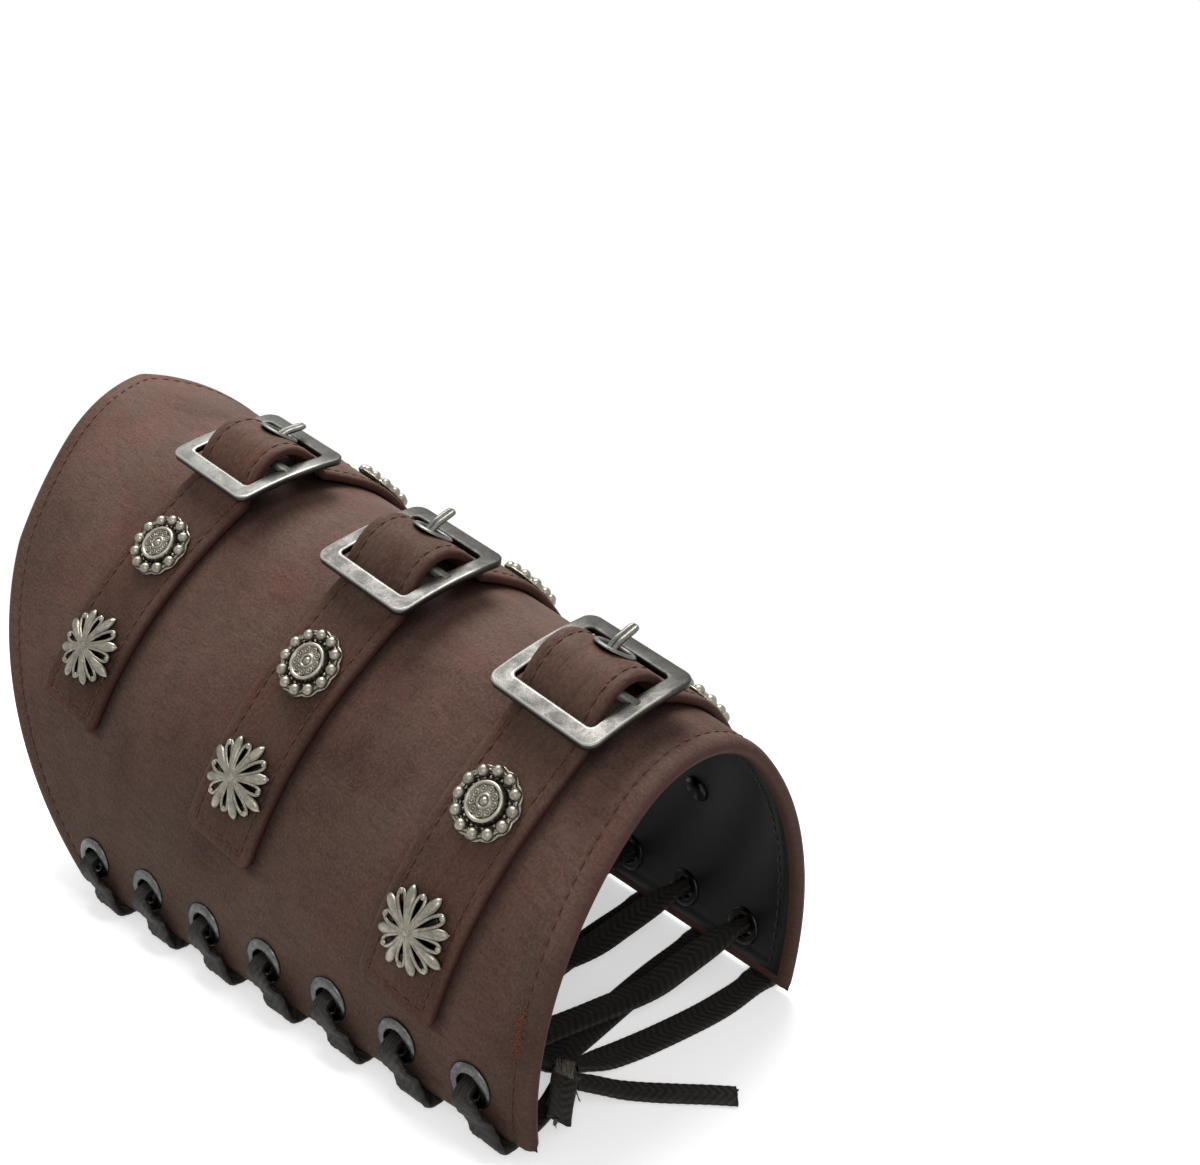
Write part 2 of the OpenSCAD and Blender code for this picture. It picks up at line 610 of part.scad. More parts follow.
// Flat tube along a route: eight corners a stop, its width along the direction across.
// It is cut flat where it lies on the table.
function unit(v) = v / norm(v);
function heading(route, i) = unit(
    unit(route[min(i + 1, len(route) - 1)][0] - route[i == len(route) - 1 ? i - 1 : i][0])
    + unit(route[i == 0 ? 1 : i][0] - route[max(i - 1, 0)][0]));
function lace_ring(route, i, across) = let (
    t = heading(route, i),
    side = unit(across - (across * t) * t),
    up = cross(t, side),
    w = route[i][1] / 2,
    h = route[i][2] / 2)
    [for (c = [[1, -0.35], [0.8, -1], [-0.8, -1], [-1, -0.35], [-1, 0.35], [-0.8, 1], [0.8, 1], [1, 0.35]])
        route[i][0] + c[0] * w * side + c[1] * h * up];
module lace_tube(route, across) {
    color(lace_colour) intersection() {
        swept([for (i = [0:len(route) - 1]) lace_ring(route, i, across)]);
        translate([-big / 2, -big / 2, 0]) cube(big);
    }
}
module lace() lace_tube(lace_route, [0, 1, 0]);

// Free ends of the lace, from the knot to where they are cut off
tail_long = [[-26.5, -120.5, 4.4], [-22, -124, 3], [-17.5, -128, 1.6], [-12, -133, 0.9],
    [-6, -139, 0.9], [0, -144.8, 0.9], [5, -150, 0.9]];
tail_short = [[-30, -119.4, 7.2], [-34, -122.6, 6.6], [-38, -125.8, 5.6], [-41, -128.4, 4.6]];
module lace_knot() {
    color(lace_colour) translate(knot_at) {
        sphere(d = knot_d);
        rotate([20, 60, 0]) rotate_extrude() translate([3.4, 0]) circle(d = 3.6, $fn = 24);
    }
}
module lace_tail_long() lace_tube([for (p = tail_long) [p, tail_w, lace_t]], [0.5, 0.9, 0]);
module lace_tail_short() lace_tube([for (p = tail_short) [p, tail_w, lace_t]], [0.9, 0.3, 0]);

outer_leather();
stiffener();
lining();
strap(strap_elbow_y);  // strap_elbow
strap(strap_middle_y);  // strap_middle
strap(strap_wrist_y);  // strap_wrist
buckle(strap_elbow_y);  // buckle_elbow
buckle(strap_middle_y);  // buckle_middle
buckle(strap_wrist_y);  // buckle_wrist
prong(strap_elbow_y, prong_elbow_angle);  // prong_elbow
prong(strap_middle_y, prong_middle_angle);  // prong_middle
prong(strap_wrist_y, prong_wrist_angle);  // prong_wrist
strap_eyelet(strap_elbow_y);  // strap_eyelet_elbow
strap_eyelet(strap_middle_y);  // strap_eyelet_middle
strap_eyelet(strap_wrist_y);  // strap_eyelet_wrist
for (place = strap_places, s = [-1, 1]) {
    name = str(place[0], s < 0 ? "_left" : "_right");
    rosette(strap_offset + s * rosette_at, place[1]);
    star(strap_offset + s * star_at, place[1]);
}
rivet_caps(strap_elbow_y);  // rivet_caps_elbow
rivet_caps(strap_middle_y);  // rivet_caps_middle
rivet_caps(strap_wrist_y);  // rivet_caps_wrist
eyelets(-1);  // eyelets_left
eyelets(1);  // eyelets_right
eyelet_washers(-1);  // eyelet_washers_left
eyelet_washers(1);  // eyelet_washers_right
lace();
lace_knot();
lace_tail_long();
lace_tail_short();
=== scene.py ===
# Looks of the leather bracer. Lengths here are in millimetres until a piece is made.
import math

import bpy
import numpy as np
from mathutils import Matrix


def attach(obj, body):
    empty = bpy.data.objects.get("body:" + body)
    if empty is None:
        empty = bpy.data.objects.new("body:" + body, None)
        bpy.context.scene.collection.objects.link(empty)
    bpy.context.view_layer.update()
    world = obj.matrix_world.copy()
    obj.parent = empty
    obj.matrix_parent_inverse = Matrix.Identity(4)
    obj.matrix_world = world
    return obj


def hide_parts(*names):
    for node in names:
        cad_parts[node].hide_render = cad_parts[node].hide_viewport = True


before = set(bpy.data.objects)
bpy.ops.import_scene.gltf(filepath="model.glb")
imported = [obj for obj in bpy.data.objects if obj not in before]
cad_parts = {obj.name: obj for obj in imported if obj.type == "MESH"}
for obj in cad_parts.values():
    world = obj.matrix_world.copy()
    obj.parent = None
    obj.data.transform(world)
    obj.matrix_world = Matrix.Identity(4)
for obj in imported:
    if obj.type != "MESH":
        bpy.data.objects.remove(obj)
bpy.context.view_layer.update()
MM = 0.001
BODY = "bracer"

# Sizes that part.scad also holds
BODY_LENGTH, CONE_LENGTH, TIP_HEIGHT = 264.0, 542.5, 9.9
TOP_RISE, CROWN_CONE, SIDE_CONE = (math.radians(a) for a in (9, 4.09, 9.41))
CROWN_TURN = math.radians(41.5)
BODY_T, EDGE_LIFT = 4.4, 2.36
PEAK_SWEEP, PEAK_LEAN = math.radians(19), math.radians(4)
CORNER_Y, CORNER_ANGLE, CORNER_R, CORNER_TOP = 181.0, math.radians(49.7), 400.0, 110.0
STRAP_Y = {"elbow": 178.3, "middle": 104.1, "wrist": 31.8}
STRAP_OFFSET, STRAP_LENGTH, STRAP_W, STRAP_T, STRAP_CHAMFER = -3.7, 203.8, 27.0, 2.8, 2.0
BUCKLE_SIDE, WINDOW_L, WINDOW_W, BUCKLE_T = 38.0, 27.6, 28.4, 2.2
BUCKLE_CORNER, WINDOW_CORNER, BUCKLE_ARCH, BUCKLE_H = 3.6, 1.6, 1.5, 9.2
BUCKLE_X = STRAP_OFFSET - 7.2
BAR_R, HUMP_CREST, HUMP_HALF, HUMP_SHIFT, HUMP_POWER = 1.5, 7.0, 13.7, 0.3, 1
FOOT_LIFT, FOOT_HALF, FOOT_POWER = 3.0, 30.0, 2
PRONG_W, PRONG_T, PRONG_REACH, PRONG_RISE, PRONG_BEND_AT = 3.2, 1.6, 18.6, 0.9, 11.5
PRONG_BEND, PRONG_EYE_R = math.radians(18), 2.7
PRONG_ANGLE = {"elbow": math.radians(15), "middle": math.radians(30), "wrist": math.radians(28)}
GROMMET_AT, GROMMET_D, GROMMET_BORE = 5.8, 12.6, 9.2
ROSETTE_AT, STAR_AT = 44.3, STRAP_LENGTH / 2 - 21.8
ROSETTE_D, BEAD_COUNT, BEAD_D, STAR_D = 20.4, 12, 3.8, 24.2
CAP_D, CAP_H = 9.0, 2.2
EYELETS, EYELET_FIRST, EYELET_PITCH, EYELET_ANGLE = 7, 15.45, 25.57, math.radians(11.57)
EYELET_D, EYELET_BORE, WASHER_D, WASHER_T = 13.5, 7.0, 12.0, 0.8
LACE_W, LACE_T, HOLE_W, HOLE_T, UNDER_T, TAIL_W = 7.6, 1.6, 5.0, 2.8, 2.4, 7.0
SEAT = 0.05

# Sizes of detail that only the visible pieces have: roundings, hole edges in the sheets,
# seams' distances from the edge and the worn stretch of one
BODY_ROUND, STRAP_ROUND = 2.2, 1.15
HOLE_CUT, HOLE_EDGE, RING_CUT, RING_EDGE = 4.3, 4.6, 5.0, 5.2
RIM_SEAM, LINING_SEAM, STRAP_SEAM, END_SEAM = 5.9, 7.2, 3.7, 3.9
RIM_PITCH, STRAP_PITCH, STITCH_R, SEAM_STEP = 3.9, 3.8, 0.31, 0.25
WORN_FROM, WORN_TO = -0.176, -0.152
WELD = 0.00002

FLAT_R = CONE_LENGTH / math.cos(TOP_RISE)
CROWN_FLAT = CROWN_TURN * math.sin(CROWN_CONE)
TIP = np.array([0, -CONE_LENGTH - BODY_LENGTH / 2, TIP_HEIGHT + EDGE_LIFT])
PEAK = np.array([0, BODY_LENGTH / 2, TIP[2] + (BODY_LENGTH + CONE_LENGTH) * math.tan(TOP_RISE)])
CORNER_C = np.array([CORNER_Y - BODY_LENGTH / 2 - CORNER_R * math.sin(CORNER_ANGLE),
                     EDGE_LIFT + CORNER_R * math.cos(CORNER_ANGLE)])


# ---- The rolled skin, as in part.scad
def vec(*parts):
    return np.stack(np.broadcast_arrays(*parts), -1)


def about_x(a, v):
    c, s = np.cos(a), np.sin(a)
    return vec(v[..., 0], v[..., 1] * c - v[..., 2] * s, v[..., 1] * s + v[..., 2] * c)


def about_y(a, v):
    c, s = np.cos(a), np.sin(a)
    return vec(v[..., 0] * c + v[..., 2] * s, v[..., 1], v[..., 2] * c - v[..., 0] * s)


def polar_turn(p, v):
    p = np.asarray(p, float)
    v = np.broadcast_to(v, p.shape + (3,))
    crown = np.clip(p, -CROWN_FLAT, CROWN_FLAT) / math.sin(CROWN_CONE)
    side = np.sign(p) * np.maximum(0, np.abs(p) - CROWN_FLAT) / math.sin(SIDE_CONE)
    v = about_y(side, about_x(SIDE_CONE, v))
    v = about_y(crown, about_x(CROWN_CONE - SIDE_CONE, v))
    return about_x(TOP_RISE - CROWN_CONE, v)


def polar_point(p, r, h):
    p, r, h = np.broadcast_arrays(np.asarray(p, float), r, h)
    return TIP + polar_turn(p, vec(0.0, r, h))


def skin(x, y, h=0.0):
    return polar_point(np.arctan2(x, y + FLAT_R), np.hypot(x, y + FLAT_R), h)


def skin_normal(x, y):
    return polar_turn(np.arctan2(x, y + FLAT_R), [0, 0, 1])


def skin_frame(x, y, h=0.0):
    """4x4 matrix of the skin at a flat place: X across, Y towards the elbow, Z outward."""
    p = math.atan2(x, y + FLAT_R)
    cols = [polar_turn(p, v) for v in
            ([math.cos(p), math.sin(p), 0], [-math.sin(p), math.cos(p), 0], [0, 0, 1])]
    m = np.eye(4)
    m[:3, 0], m[:3, 1], m[:3, 2], m[:3, 3] = *cols, skin(x, y, h)
    return m


def place(m, pts):
    return np.asarray(pts) @ m[:3, :3].T + m[:3, 3]


def wrist_reach(p, inset=0.0):
    w = polar_turn(p, [0, 1, 0])
    return (inset - BODY_LENGTH / 2 - TIP[1]) / w[..., 1]


def elbow_reach(p, inset=0.0):
    w = polar_turn(p, [0, 1, 0])
    out = vec(np.where(p < 0, -1, 1) * math.sin(PEAK_SWEEP) * math.cos(PEAK_LEAN),
              math.cos(PEAK_SWEEP) * math.cos(PEAK_LEAN), -math.sin(PEAK_LEAN))
    straight = (out @ (PEAK - TIP) - inset) / (w * out).sum(-1)
    q = TIP[1:] - CORNER_C
    a = w[..., 1] ** 2 + w[..., 2] ** 2
    b = 2 * (q[0] * w[..., 1] + q[1] * w[..., 2])
    c = q @ q - (CORNER_R - inset) ** 2
    curved = (np.sqrt(b * b - 4 * a * c) - b) / (2 * a)
    low = TIP[2] + w[..., 2] * curved < CORNER_TOP + EDGE_LIFT
    return np.where(low, np.minimum(straight, curved), straight)


# Polar angle at which the skin is a given height over the laced edge
P_ROW = np.linspace(CROWN_FLAT, CROWN_FLAT + math.radians(70) * math.sin(SIDE_CONE), 400)
R_ROW = np.linspace(CONE_LENGTH - 20, CONE_LENGTH + 320, 60)


def edge_polar_table(inset):
    z = polar_point(P_ROW[None, :], R_ROW[:, None], 0.0)[..., 2]
    return np.array([np.interp(-(EDGE_LIFT + inset), -row, P_ROW) for row in z])


# ---- Mesh making
def quads(ni, nj, tube=False, closed=False):
    """Faces of a grid of points, rolled into a tube, and the tube's ends joined."""
    i = np.arange(ni if closed else ni - 1)[:, None]
    j = np.arange(nj if tube else nj - 1)[None, :]
    i2, j2 = (i + 1) % ni, (j + 1) % nj
    f = np.stack([i * nj + j, i2 * nj + j, i2 * nj + j2, i * nj + j2], -1).reshape(-1, 4)
    return f[:, ::-1] if tube else f


class Shape:
    """Points, faces, a flat map and a tone for each point, gathered into one mesh."""

    def __init__(self):
        self.v, self.f, self.uv, self.tone, self.n = [], [], [], [], 0

    def add(self, v, f, uv=(0, 0), tone=1.0):
        v = np.asarray(v, float).reshape(-1, 3)
        self.v.append(v)
        self.uv.append(np.broadcast_to(np.reshape(uv, (-1, 2)), (len(v), 2)))
        self.tone.append(np.broadcast_to(np.ravel(tone), (len(v),)))
        if isinstance(f, np.ndarray):
            self.f.extend((f + self.n).tolist())
        else:
            self.f.extend([[k + self.n for k in q] for q in f])
        self.n += len(v)

    def make(self, name, mat, slot, nodes=(), body=BODY, weld=False):
        me = bpy.data.meshes.new(name)
        v = np.concatenate(self.v) * MM
        me.from_pydata(v.tolist(), [], self.f)
        layer = me.uv_layers.new(name="flat")
        loops = np.empty(len(me.loops), np.int32)
        me.loops.foreach_get("vertex_index", loops)
        layer.data.foreach_set("uv", np.concatenate(self.uv)[loops].astype(np.float32).ravel())
        tone = me.attributes.new("tone", "FLOAT", "POINT")
        tone.data.foreach_set("value", np.concatenate(self.tone).astype(np.float32))
        me.polygons.foreach_set("use_smooth", [True] * len(me.polygons))
        me.materials.append(mat)
        me.update()
        ob = put(name, me)
        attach(ob, body)
        if nodes:
            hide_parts(*nodes)
        if weld:
            ob.modifiers.new("weld", "WELD").merge_threshold = WELD
        return ob


def put(name, data, m=None):
    ob = bpy.data.objects.new(name, data)
    bpy.context.collection.objects.link(ob)
    if m is not None:
        ob.matrix_world = Matrix(m.tolist())
    return ob


def unit(v):
    return v / np.maximum(np.linalg.norm(v, axis=-1, keepdims=True), 1e-9)


def frame_of(x, z, at):
    m = np.eye(4)
    m[:3, 0], m[:3, 1], m[:3, 2], m[:3, 3] = x, np.cross(z, x), z, at
    return m


def pitched(m, a):
    """Frame m turned about its own Y by a, which lifts its X."""
    turn = np.eye(4)
    turn[:3, :3] = [[math.cos(a), 0, -math.sin(a)], [0, 1, 0], [math.sin(a), 0, math.cos(a)]]
    return m @ turn


def laid_along_y(m):
    """Frame m with its Z laid along its old Y, for things that are turned on a bar."""
    out = m.copy()
    out[:3, 1], out[:3, 2] = m[:3, 2], -m[:3, 1]
    return out


def headings(pts, closed=False):
    if closed:
        return unit(unit(np.roll(pts, -1, 0) - pts) + unit(pts - np.roll(pts, 1, 0)))
    seg = unit(np.diff(pts, axis=0))
    return unit(np.concatenate([seg[:1], seg[:-1] + seg[1:], seg[-1:]]))


def sweep(shape, pts, across, ring, closed=False, uv=(0, 0), tone=1.0, m=None):
    """Tube along pts, in frame m. ring is (stations or 1, k, 2): each point's place along
    across and up."""
    pts = np.asarray(pts, float)
    t = headings(pts, closed)
    across = np.broadcast_to(across, pts.shape)
    side = unit(across - (across * t).sum(-1, keepdims=True) * t)
    up = np.cross(t, side)
    ring = np.broadcast_to(ring, (len(pts),) + ring.shape[-2:])
    k = ring.shape[1]
    v = pts[:, None] + ring[..., :1] * side[:, None] + ring[..., 1:] * up[:, None]
    f = quads(len(pts), k, True, closed).tolist()
    if not closed:
        n = len(pts) * k
        f += [list(range(k)), list(range(n - 1, n - k - 1, -1))]
    shape.add(v if m is None else place(m, v.reshape(-1, 3)), f, uv, tone)


def turns(k):
    return np.arange(k) * 2 * math.pi / k


def whole_turn(n):
    return np.linspace(0, 2 * math.pi, n)[:-1]


def circle_ring(r, k, flat=1.0):
    a = turns(k)
    return vec(np.cos(a) * r, np.sin(a) * r * flat)[None]


def lathe(shape, m, rows, k, closed=False):
    """Rows of (radius, height) or (radius, height, tone) turned about Z and put at matrix m."""
    rows, a = np.asarray(rows, float), turns(k)
    v = vec(rows[:, :1] * np.cos(a), rows[:, :1] * np.sin(a), rows[:, 1:2])
    tone = np.repeat(rows[:, 2], k) if rows.shape[1] > 2 else 1.0
    shape.add(place(m, v.reshape(-1, 3)), quads(len(rows), k, True, closed), tone=tone)


def ball(shape, m, centre, r, k, squash=1.0, tone=1.0):
    a = np.linspace(0, math.pi, k // 2 + 1)
    m = m.copy()
    m[:3, 3] = place(m, np.array(centre))
    lathe(shape, m, vec(np.sin(a) * r + 1e-4, -np.cos(a) * r * squash, tone), k)


def even_steps(pts, s, step, least):
    """Rows of pts at even steps of s, the length along them."""
    q = np.linspace(0, s[-1], max(least, int(round(s[-1] / step)) + 1))
    return vec(*(np.interp(q, s, column) for column in pts.T))


def gaps(pts):
    return np.linalg.norm(np.diff(pts, axis=0), axis=1)


def run_length(steps):
    return np.concatenate([[0], np.cumsum(steps)])


def between(t, ta, a, tb, b):
    return (tb - t) / (tb - ta) * a + (t - ta) / (tb - ta) * b


def smooth_route(stops, step):
    """Catmull-Rom curve through stops of any number of columns, even steps along its length."""
    s = np.asarray(stops, float)
    s = np.concatenate([[2 * s[0] - s[1]], s, [2 * s[-1] - s[-2]]])
    knots = run_length(np.sqrt(gaps(s[:, :3])))
    out = []
    for i in range(1, len(s) - 2):
        t0, t1, t2, t3 = knots[i - 1:i + 3]
        t = np.linspace(t1, t2, 12, endpoint=False)[:, None]
        a1, a2, a3 = (between(t, knots[j], s[j], knots[j + 1], s[j + 1]) for j in (i - 1, i, i + 1))
        out.append(between(t, t1, between(t, t0, a1, t2, a2), t2, between(t, t1, a2, t3, a3)))
    out.append(s[-2:-1])
    pts = np.concatenate(out)
    return even_steps(pts, run_length(gaps(pts[:, :3])), step, 3)


# ---- Materials
def new_material(name):
    mat = bpy.data.materials.new(name)
    mat.use_nodes = True
    return mat, Nodes(mat.node_tree)


class Nodes:
    def __init__(self, nt):
        self.nt = nt

    def add(self, kind, **values):
        n = self.nt.nodes.new(kind)
        for k, v in values.items():
            if k in n.inputs:
                n.inputs[k].default_value = v
            else:
                setattr(n, k, v)
        return n

    def link(self, a, b):
        self.nt.links.new(a, b)

    def coords(self, scale, flat=True):
        """Flat map or object place, scaled per millimetre."""
        if flat:
            src = self.add("ShaderNodeUVMap", uv_map="flat").outputs[0]
        else:
            src = self.add("ShaderNodeTexCoord").outputs["Object"]
        m = self.add("ShaderNodeMapping")
        f = 1 if flat else 1 / MM
        m.inputs["Scale"].default_value = [s * f for s in np.broadcast_to(scale, 3)]
        self.link(src, m.inputs["Vector"])
        return m.outputs[0]

    def noise(self, vector, detail, rough, distort=0.0, scale=1.0):
        n = self.add("ShaderNodeTexNoise", Scale=scale, Detail=detail, Roughness=rough,
                     Distortion=distort)
        self.link(vector, n.inputs["Vector"])
        return n.outputs["Fac"]

    def length(self, vector):
        n = self.add("ShaderNodeVectorMath", operation="LENGTH")
        self.link(vector, n.inputs[0])
        return n.outputs["Value"]

    def ramp(self, fac, stops):
        n = self.add("ShaderNodeValToRGB")
        e = n.color_ramp.elements
        while len(e) < len(stops):
            e.new(0.5)
        for el, (pos, col) in zip(e, stops):
            el.position, el.color = pos, (*col, 1)
        self.link(fac, n.inputs["Fac"])
        return n.outputs["Color"]

    def feed(self, sockets, values):
        for sock, val in zip(sockets, values):
            if isinstance(val, bpy.types.NodeSocket):
                self.link(val, sock)
            else:
                sock.default_value = (*val, 1) if isinstance(val, tuple) else val

    def mix(self, fac, a, b):
        n = self.add("ShaderNodeMix", data_type="RGBA")
        self.feed((n.inputs[0], n.inputs[6], n.inputs[7]), (fac, a, b))
        return n.outputs[2]

    def over(self, col, other, fac, a, b, most):
        """col, with other laid over it as fac goes from a to b."""
        return self.mix(self.range(fac, a, b, 0, most), col, other)

    def surface(self, colour, rough, normal, spec=0.5, metal=0.0):
        i = self.nt.nodes["Principled BSDF"].inputs
        self.feed((i["Base Color"], i["Roughness"], i["Normal"], i["Specular IOR Level"],
                   i["Metallic"]), (colour, rough, normal, spec, metal))

    def math(self, op, a, b=0.0):
        n = self.add("ShaderNodeMath", operation=op)
        self.feed(n.inputs, (a, b))
        return n.outputs[0]

    def range(self, value, a, b, c, d):
        n = self.add("ShaderNodeMapRange")
        self.feed(n.inputs, (value, a, b, c, d))
        return n.outputs[0]

    def tone(self):
        return self.add("ShaderNodeAttribute", attribute_name="tone").outputs["Fac"]

    def bump(self, height, strength, distance, normal=None):
        n = self.add("ShaderNodeBump", Strength=strength, Distance=distance)
        self.link(height, n.inputs["Height"])
        if normal is not None:
            self.link(normal, n.inputs["Normal"])
        return n.outputs[0]


def scaled(colour, k):
    return tuple(c * k for c in colour)


def leather_material(name, dark, mid, light, edge, dulled=None):
    """Tone 1 is the plain leather, below it lies a worn edge, and above it painted shadow beside
    the straps.
    Dulled is the greyer colour that it turns to down its two sides."""
    mat, n = new_material(name)
    cloud = n.noise(n.coords(0.018), 5, 0.6, 0.4)
    streak = n.noise(n.coords((0.55, 0.16, 1)), 5, 0.7, 0.6)
    speck = n.noise(n.coords(1.1), 3, 0.7)
    hue = n.noise(n.coords((0.035, 0.028, 0.03)), 4, 0.6, 0.8)
    red = n.noise(n.coords((0.024, 0.03, 0.02)), 3, 0.55, 0.5)
    browner = (mid[0] * 0.94, mid[1] * 1.22, mid[2] * 1.16)
    redder = (light[0] * 0.94, light[1] * 0.7, light[2] * 0.7)
    col = n.ramp(cloud, [(0.34, dark), (0.5, mid), (0.68, light)])
    col = n.over(col, browner, hue, 0.42, 0.68, 0.7)
    col = n.over(col, redder, red, 0.5, 0.7, 0.5)
    if dulled:
        col = n.over(col, dulled, n.length(n.coords((1, 0, 0))), 60, 150, 0.5)
    col = n.over(col, scaled(mid, 0.5), streak, 0.42, 0.68, 0.5)
    col = n.over(col, scaled(light, 1.4), speck, 0.5, 0.72, 0.38)
    col = n.over(col, scaled(dark, 0.55), speck, 0.48, 0.3, 0.4)
    col = n.over(col, edge, n.tone(), 1, 0, 0.85)
    # Painted shadow: tone above 1 darkens the leather beside the straps
    col = n.over(col, scaled(dark, 0.3), n.tone(), 1, 2, 0.8)
    cell = n.add("ShaderNodeTexVoronoi", Scale=1)
    n.link(n.coords((1.15, 0.8, 1)), cell.inputs["Vector"])
    b = n.bump(streak, 0.25, 0.0003, n.bump(cell.outputs["Distance"], 0.25, 0.0003))
    n.surface(col, n.range(cloud, 0.3, 0.7, 0.6, 0.42), n.bump(speck, 0.35, 0.0003, b), 0.04)
    return mat


def metal_material(name, bright, dark, edge, rough, blotch, dirt):
    """Tone 1 is the plain metal, below it lies painted shade, and above it a worn bright edge."""
    mat, n = new_material(name)
    at = n.coords(1, flat=False)
    blot = n.noise(at, 5, 0.65, 0.5, blotch)
    fine = n.noise(at, 3, 0.6, 0, 2.2)
    col = n.over(bright, dark, blot, 0.4, 0.62, dirt)
    col = n.over(col, dark, fine, 0.5, 0.72, 0.7)
    col = n.over(col, edge, n.tone(), 1, 1.4, 1)
    # Painted shade: tone below 1 darkens undersides, bores, grooves and the sides of wires
    col = n.over(col, scaled(dark, 0.12), n.tone(), 1, 0, 1)
    n.surface(col, n.range(blot, 0.35, 0.65, *rough), n.bump(fine, 0.12, 0.0002), metal=1)
    return mat


def plain_material(name, colour, rough, spec, grain):
    mat, n = new_material(name)
    g = n.noise(n.coords(grain, flat=False), 4, 0.6)
    n.surface(n.over(scaled(colour, 0.7), scaled(colour, 1.25), g, 0.35, 0.7, 1), rough,
              n.bump(g, 0.15, 0.0002), spec)
    return mat


def lace_material():
    mat, n = new_material("lace_weave")
    fibre = n.noise(n.coords((0.5, 4.5, 1)), 4, 0.65)
    wear = n.noise(n.coords((0.05, 0.2, 1)), 3, 0.6)
    col = n.ramp(fibre, [(0.3, (0.014, 0.0135, 0.012)), (0.55, (0.042, 0.038, 0.032)),
                         (0.78, (0.13, 0.118, 0.1))])
    # Low tone darkens the weave towards black: painted shade in the grooves between ridges, the
    # folds of gathered tape and inside the knot
    col = n.mix(n.range(n.tone(), 0.35, 0.9, 0.85, 0), col, (0.004, 0.004, 0.004))
    col = n.over(col, (0.045, 0.036, 0.03), wear, 0.5, 0.7, 0.5)
    n.surface(col, 0.62, n.bump(fibre, 0.5, 0.0003), 0.2)
    return mat


LEATHER = leather_material("leather", (0.066, 0.035, 0.028), (0.116, 0.066, 0.052),
                           (0.165, 0.096, 0.077), (0.1, 0.05, 0.043), (0.11, 0.078, 0.06))
STRAP_LEATHER = leather_material("strap_leather", (0.063, 0.034, 0.026), (0.101, 0.056, 0.043),
                                 (0.14, 0.077, 0.058), (0.07, 0.025, 0.022))
# Colour, roughness, gloss and grain
LINING = plain_material("lining_leather", (0.0085, 0.0085, 0.01), 0.42, 0.25, 0.25)
THREAD = plain_material("thread", (0.1, 0.036, 0.025), 0.7, 0.3, 1.5)
WORN_THREAD = plain_material("worn_thread", (0.17, 0.066, 0.045), 0.85, 0.2, 2.0)
# Near-black discs after the stitches: painted shade standing in for the needle holes
HOLE_SHADE = plain_material("stitch_hole_shade", (0.008, 0.004, 0.004), 0.9, 0.1, 1.0)
# Bright, dark and edge colours, range of roughness, size of the blotches and their strength
PEWTER = metal_material("pewter", (0.175, 0.168, 0.153), (0.06, 0.057, 0.052),
                        (0.44, 0.42, 0.39), (0.34, 0.5), 0.16, 0.5)
# Darker copy of the pewter for the middle and wrist buckle frames: painted shade, toning down the
# key light's reflection on them
SHADED_PEWTER = metal_material("shaded_pewter", (0.118, 0.113, 0.103), (0.04, 0.038, 0.035),
                             (0.4, 0.385, 0.355), (0.36, 0.54), 0.16, 0.5)
GREY_PEWTER = metal_material("grey_pewter", (0.165, 0.163, 0.148), (0.06, 0.059, 0.053),
                             (0.44, 0.43, 0.4), (0.34, 0.5), 0.13, 0.6)
STUD = metal_material("stud_silver", (0.33, 0.305, 0.255), (0.11, 0.098, 0.077),
                      (0.56, 0.52, 0.45), (0.28, 0.45), 0.4, 0.5)
GUNMETAL = metal_material("gunmetal", (0.13, 0.13, 0.13), (0.045, 0.045, 0.048),
                          (0.3, 0.3, 0.3), (0.25, 0.4), 0.5, 0.6)
BLACKENED = metal_material("blackened", (0.03, 0.03, 0.032), (0.012, 0.012, 0.013),
                           (0.2, 0.2, 0.2), (0.25, 0.4), 0.5, 0.6)
LACE = lace_material()
FRAY = plain_material("frayed_fibre", (0.2, 0.18, 0.15), 0.85, 0.2, 2.0)


# ---- Camera
def make_camera():
    right, down = np.array([0.6836, -0.7256, 0.079]), np.array([-0.1961, -0.2868, -0.9377])
    u, _, vt = np.linalg.svd(vec(right, -down, np.cross(down, right)))
    m = np.eye(4)
    m[:3, :3], m[:3, 3] = u @ vt, (-0.27668, -0.33662, 0.26261)
    cam = bpy.data.cameras.new("camera")
    cam.lens, cam.sensor_width, cam.sensor_fit = 45.5, 36.0, "HORIZONTAL"
    cam.clip_start = 0.01
    bpy.context.scene.camera = put("camera", cam, m)


make_camera()


# ---- Lace: its stops are those of part.scad, [x, y, z, width, thickness]
def eyelet_place(side, k):
    reach = FLAT_R + EYELET_FIRST + k * EYELET_PITCH
    return side * reach * math.sin(EYELET_ANGLE), reach * math.cos(EYELET_ANGLE) - FLAT_R


def hole_point(side, k, out):
    x, y = eyelet_place(side, k)
    return skin(x, y) + out * skin_normal(x, y)


FALL, INSIDE, INWARD, UNDER_Z = 7.8, 9.0, 10.0, UNDER_T / 2 - UNDER_T / 10


def outside_stop(side, k, out, z, back, w, t):
    p = hole_point(side, k, 0)
    return [p[0] + side * out, p[1] - back, z, w, t]


# Stops down the outside of an edge: how far out, height (below the eyelet, or over the floor),
# how far back, width and thickness
FROM_EYELET = [(3.1, 1.7, 0.6, 6.4, 2.4), (2.5, 4.8, 2.2, 8.6, 2), (0.9, 8, 4.6, 9, 2)]
TO_FLOOR = [(0.4, 4.8, 6.2, 9, 2), (-0.2, 2.8, 7.2, 8.8, 2), (-1.4, 1.3, 7.6, 8.4, 2),
            (-3.6, UNDER_Z, FALL, 8, UNDER_T), (-6.6, UNDER_Z, FALL, 7.6, UNDER_T),
            (-INWARD, UNDER_Z - 0.1, FALL + 0.3, 7.2, 2)]


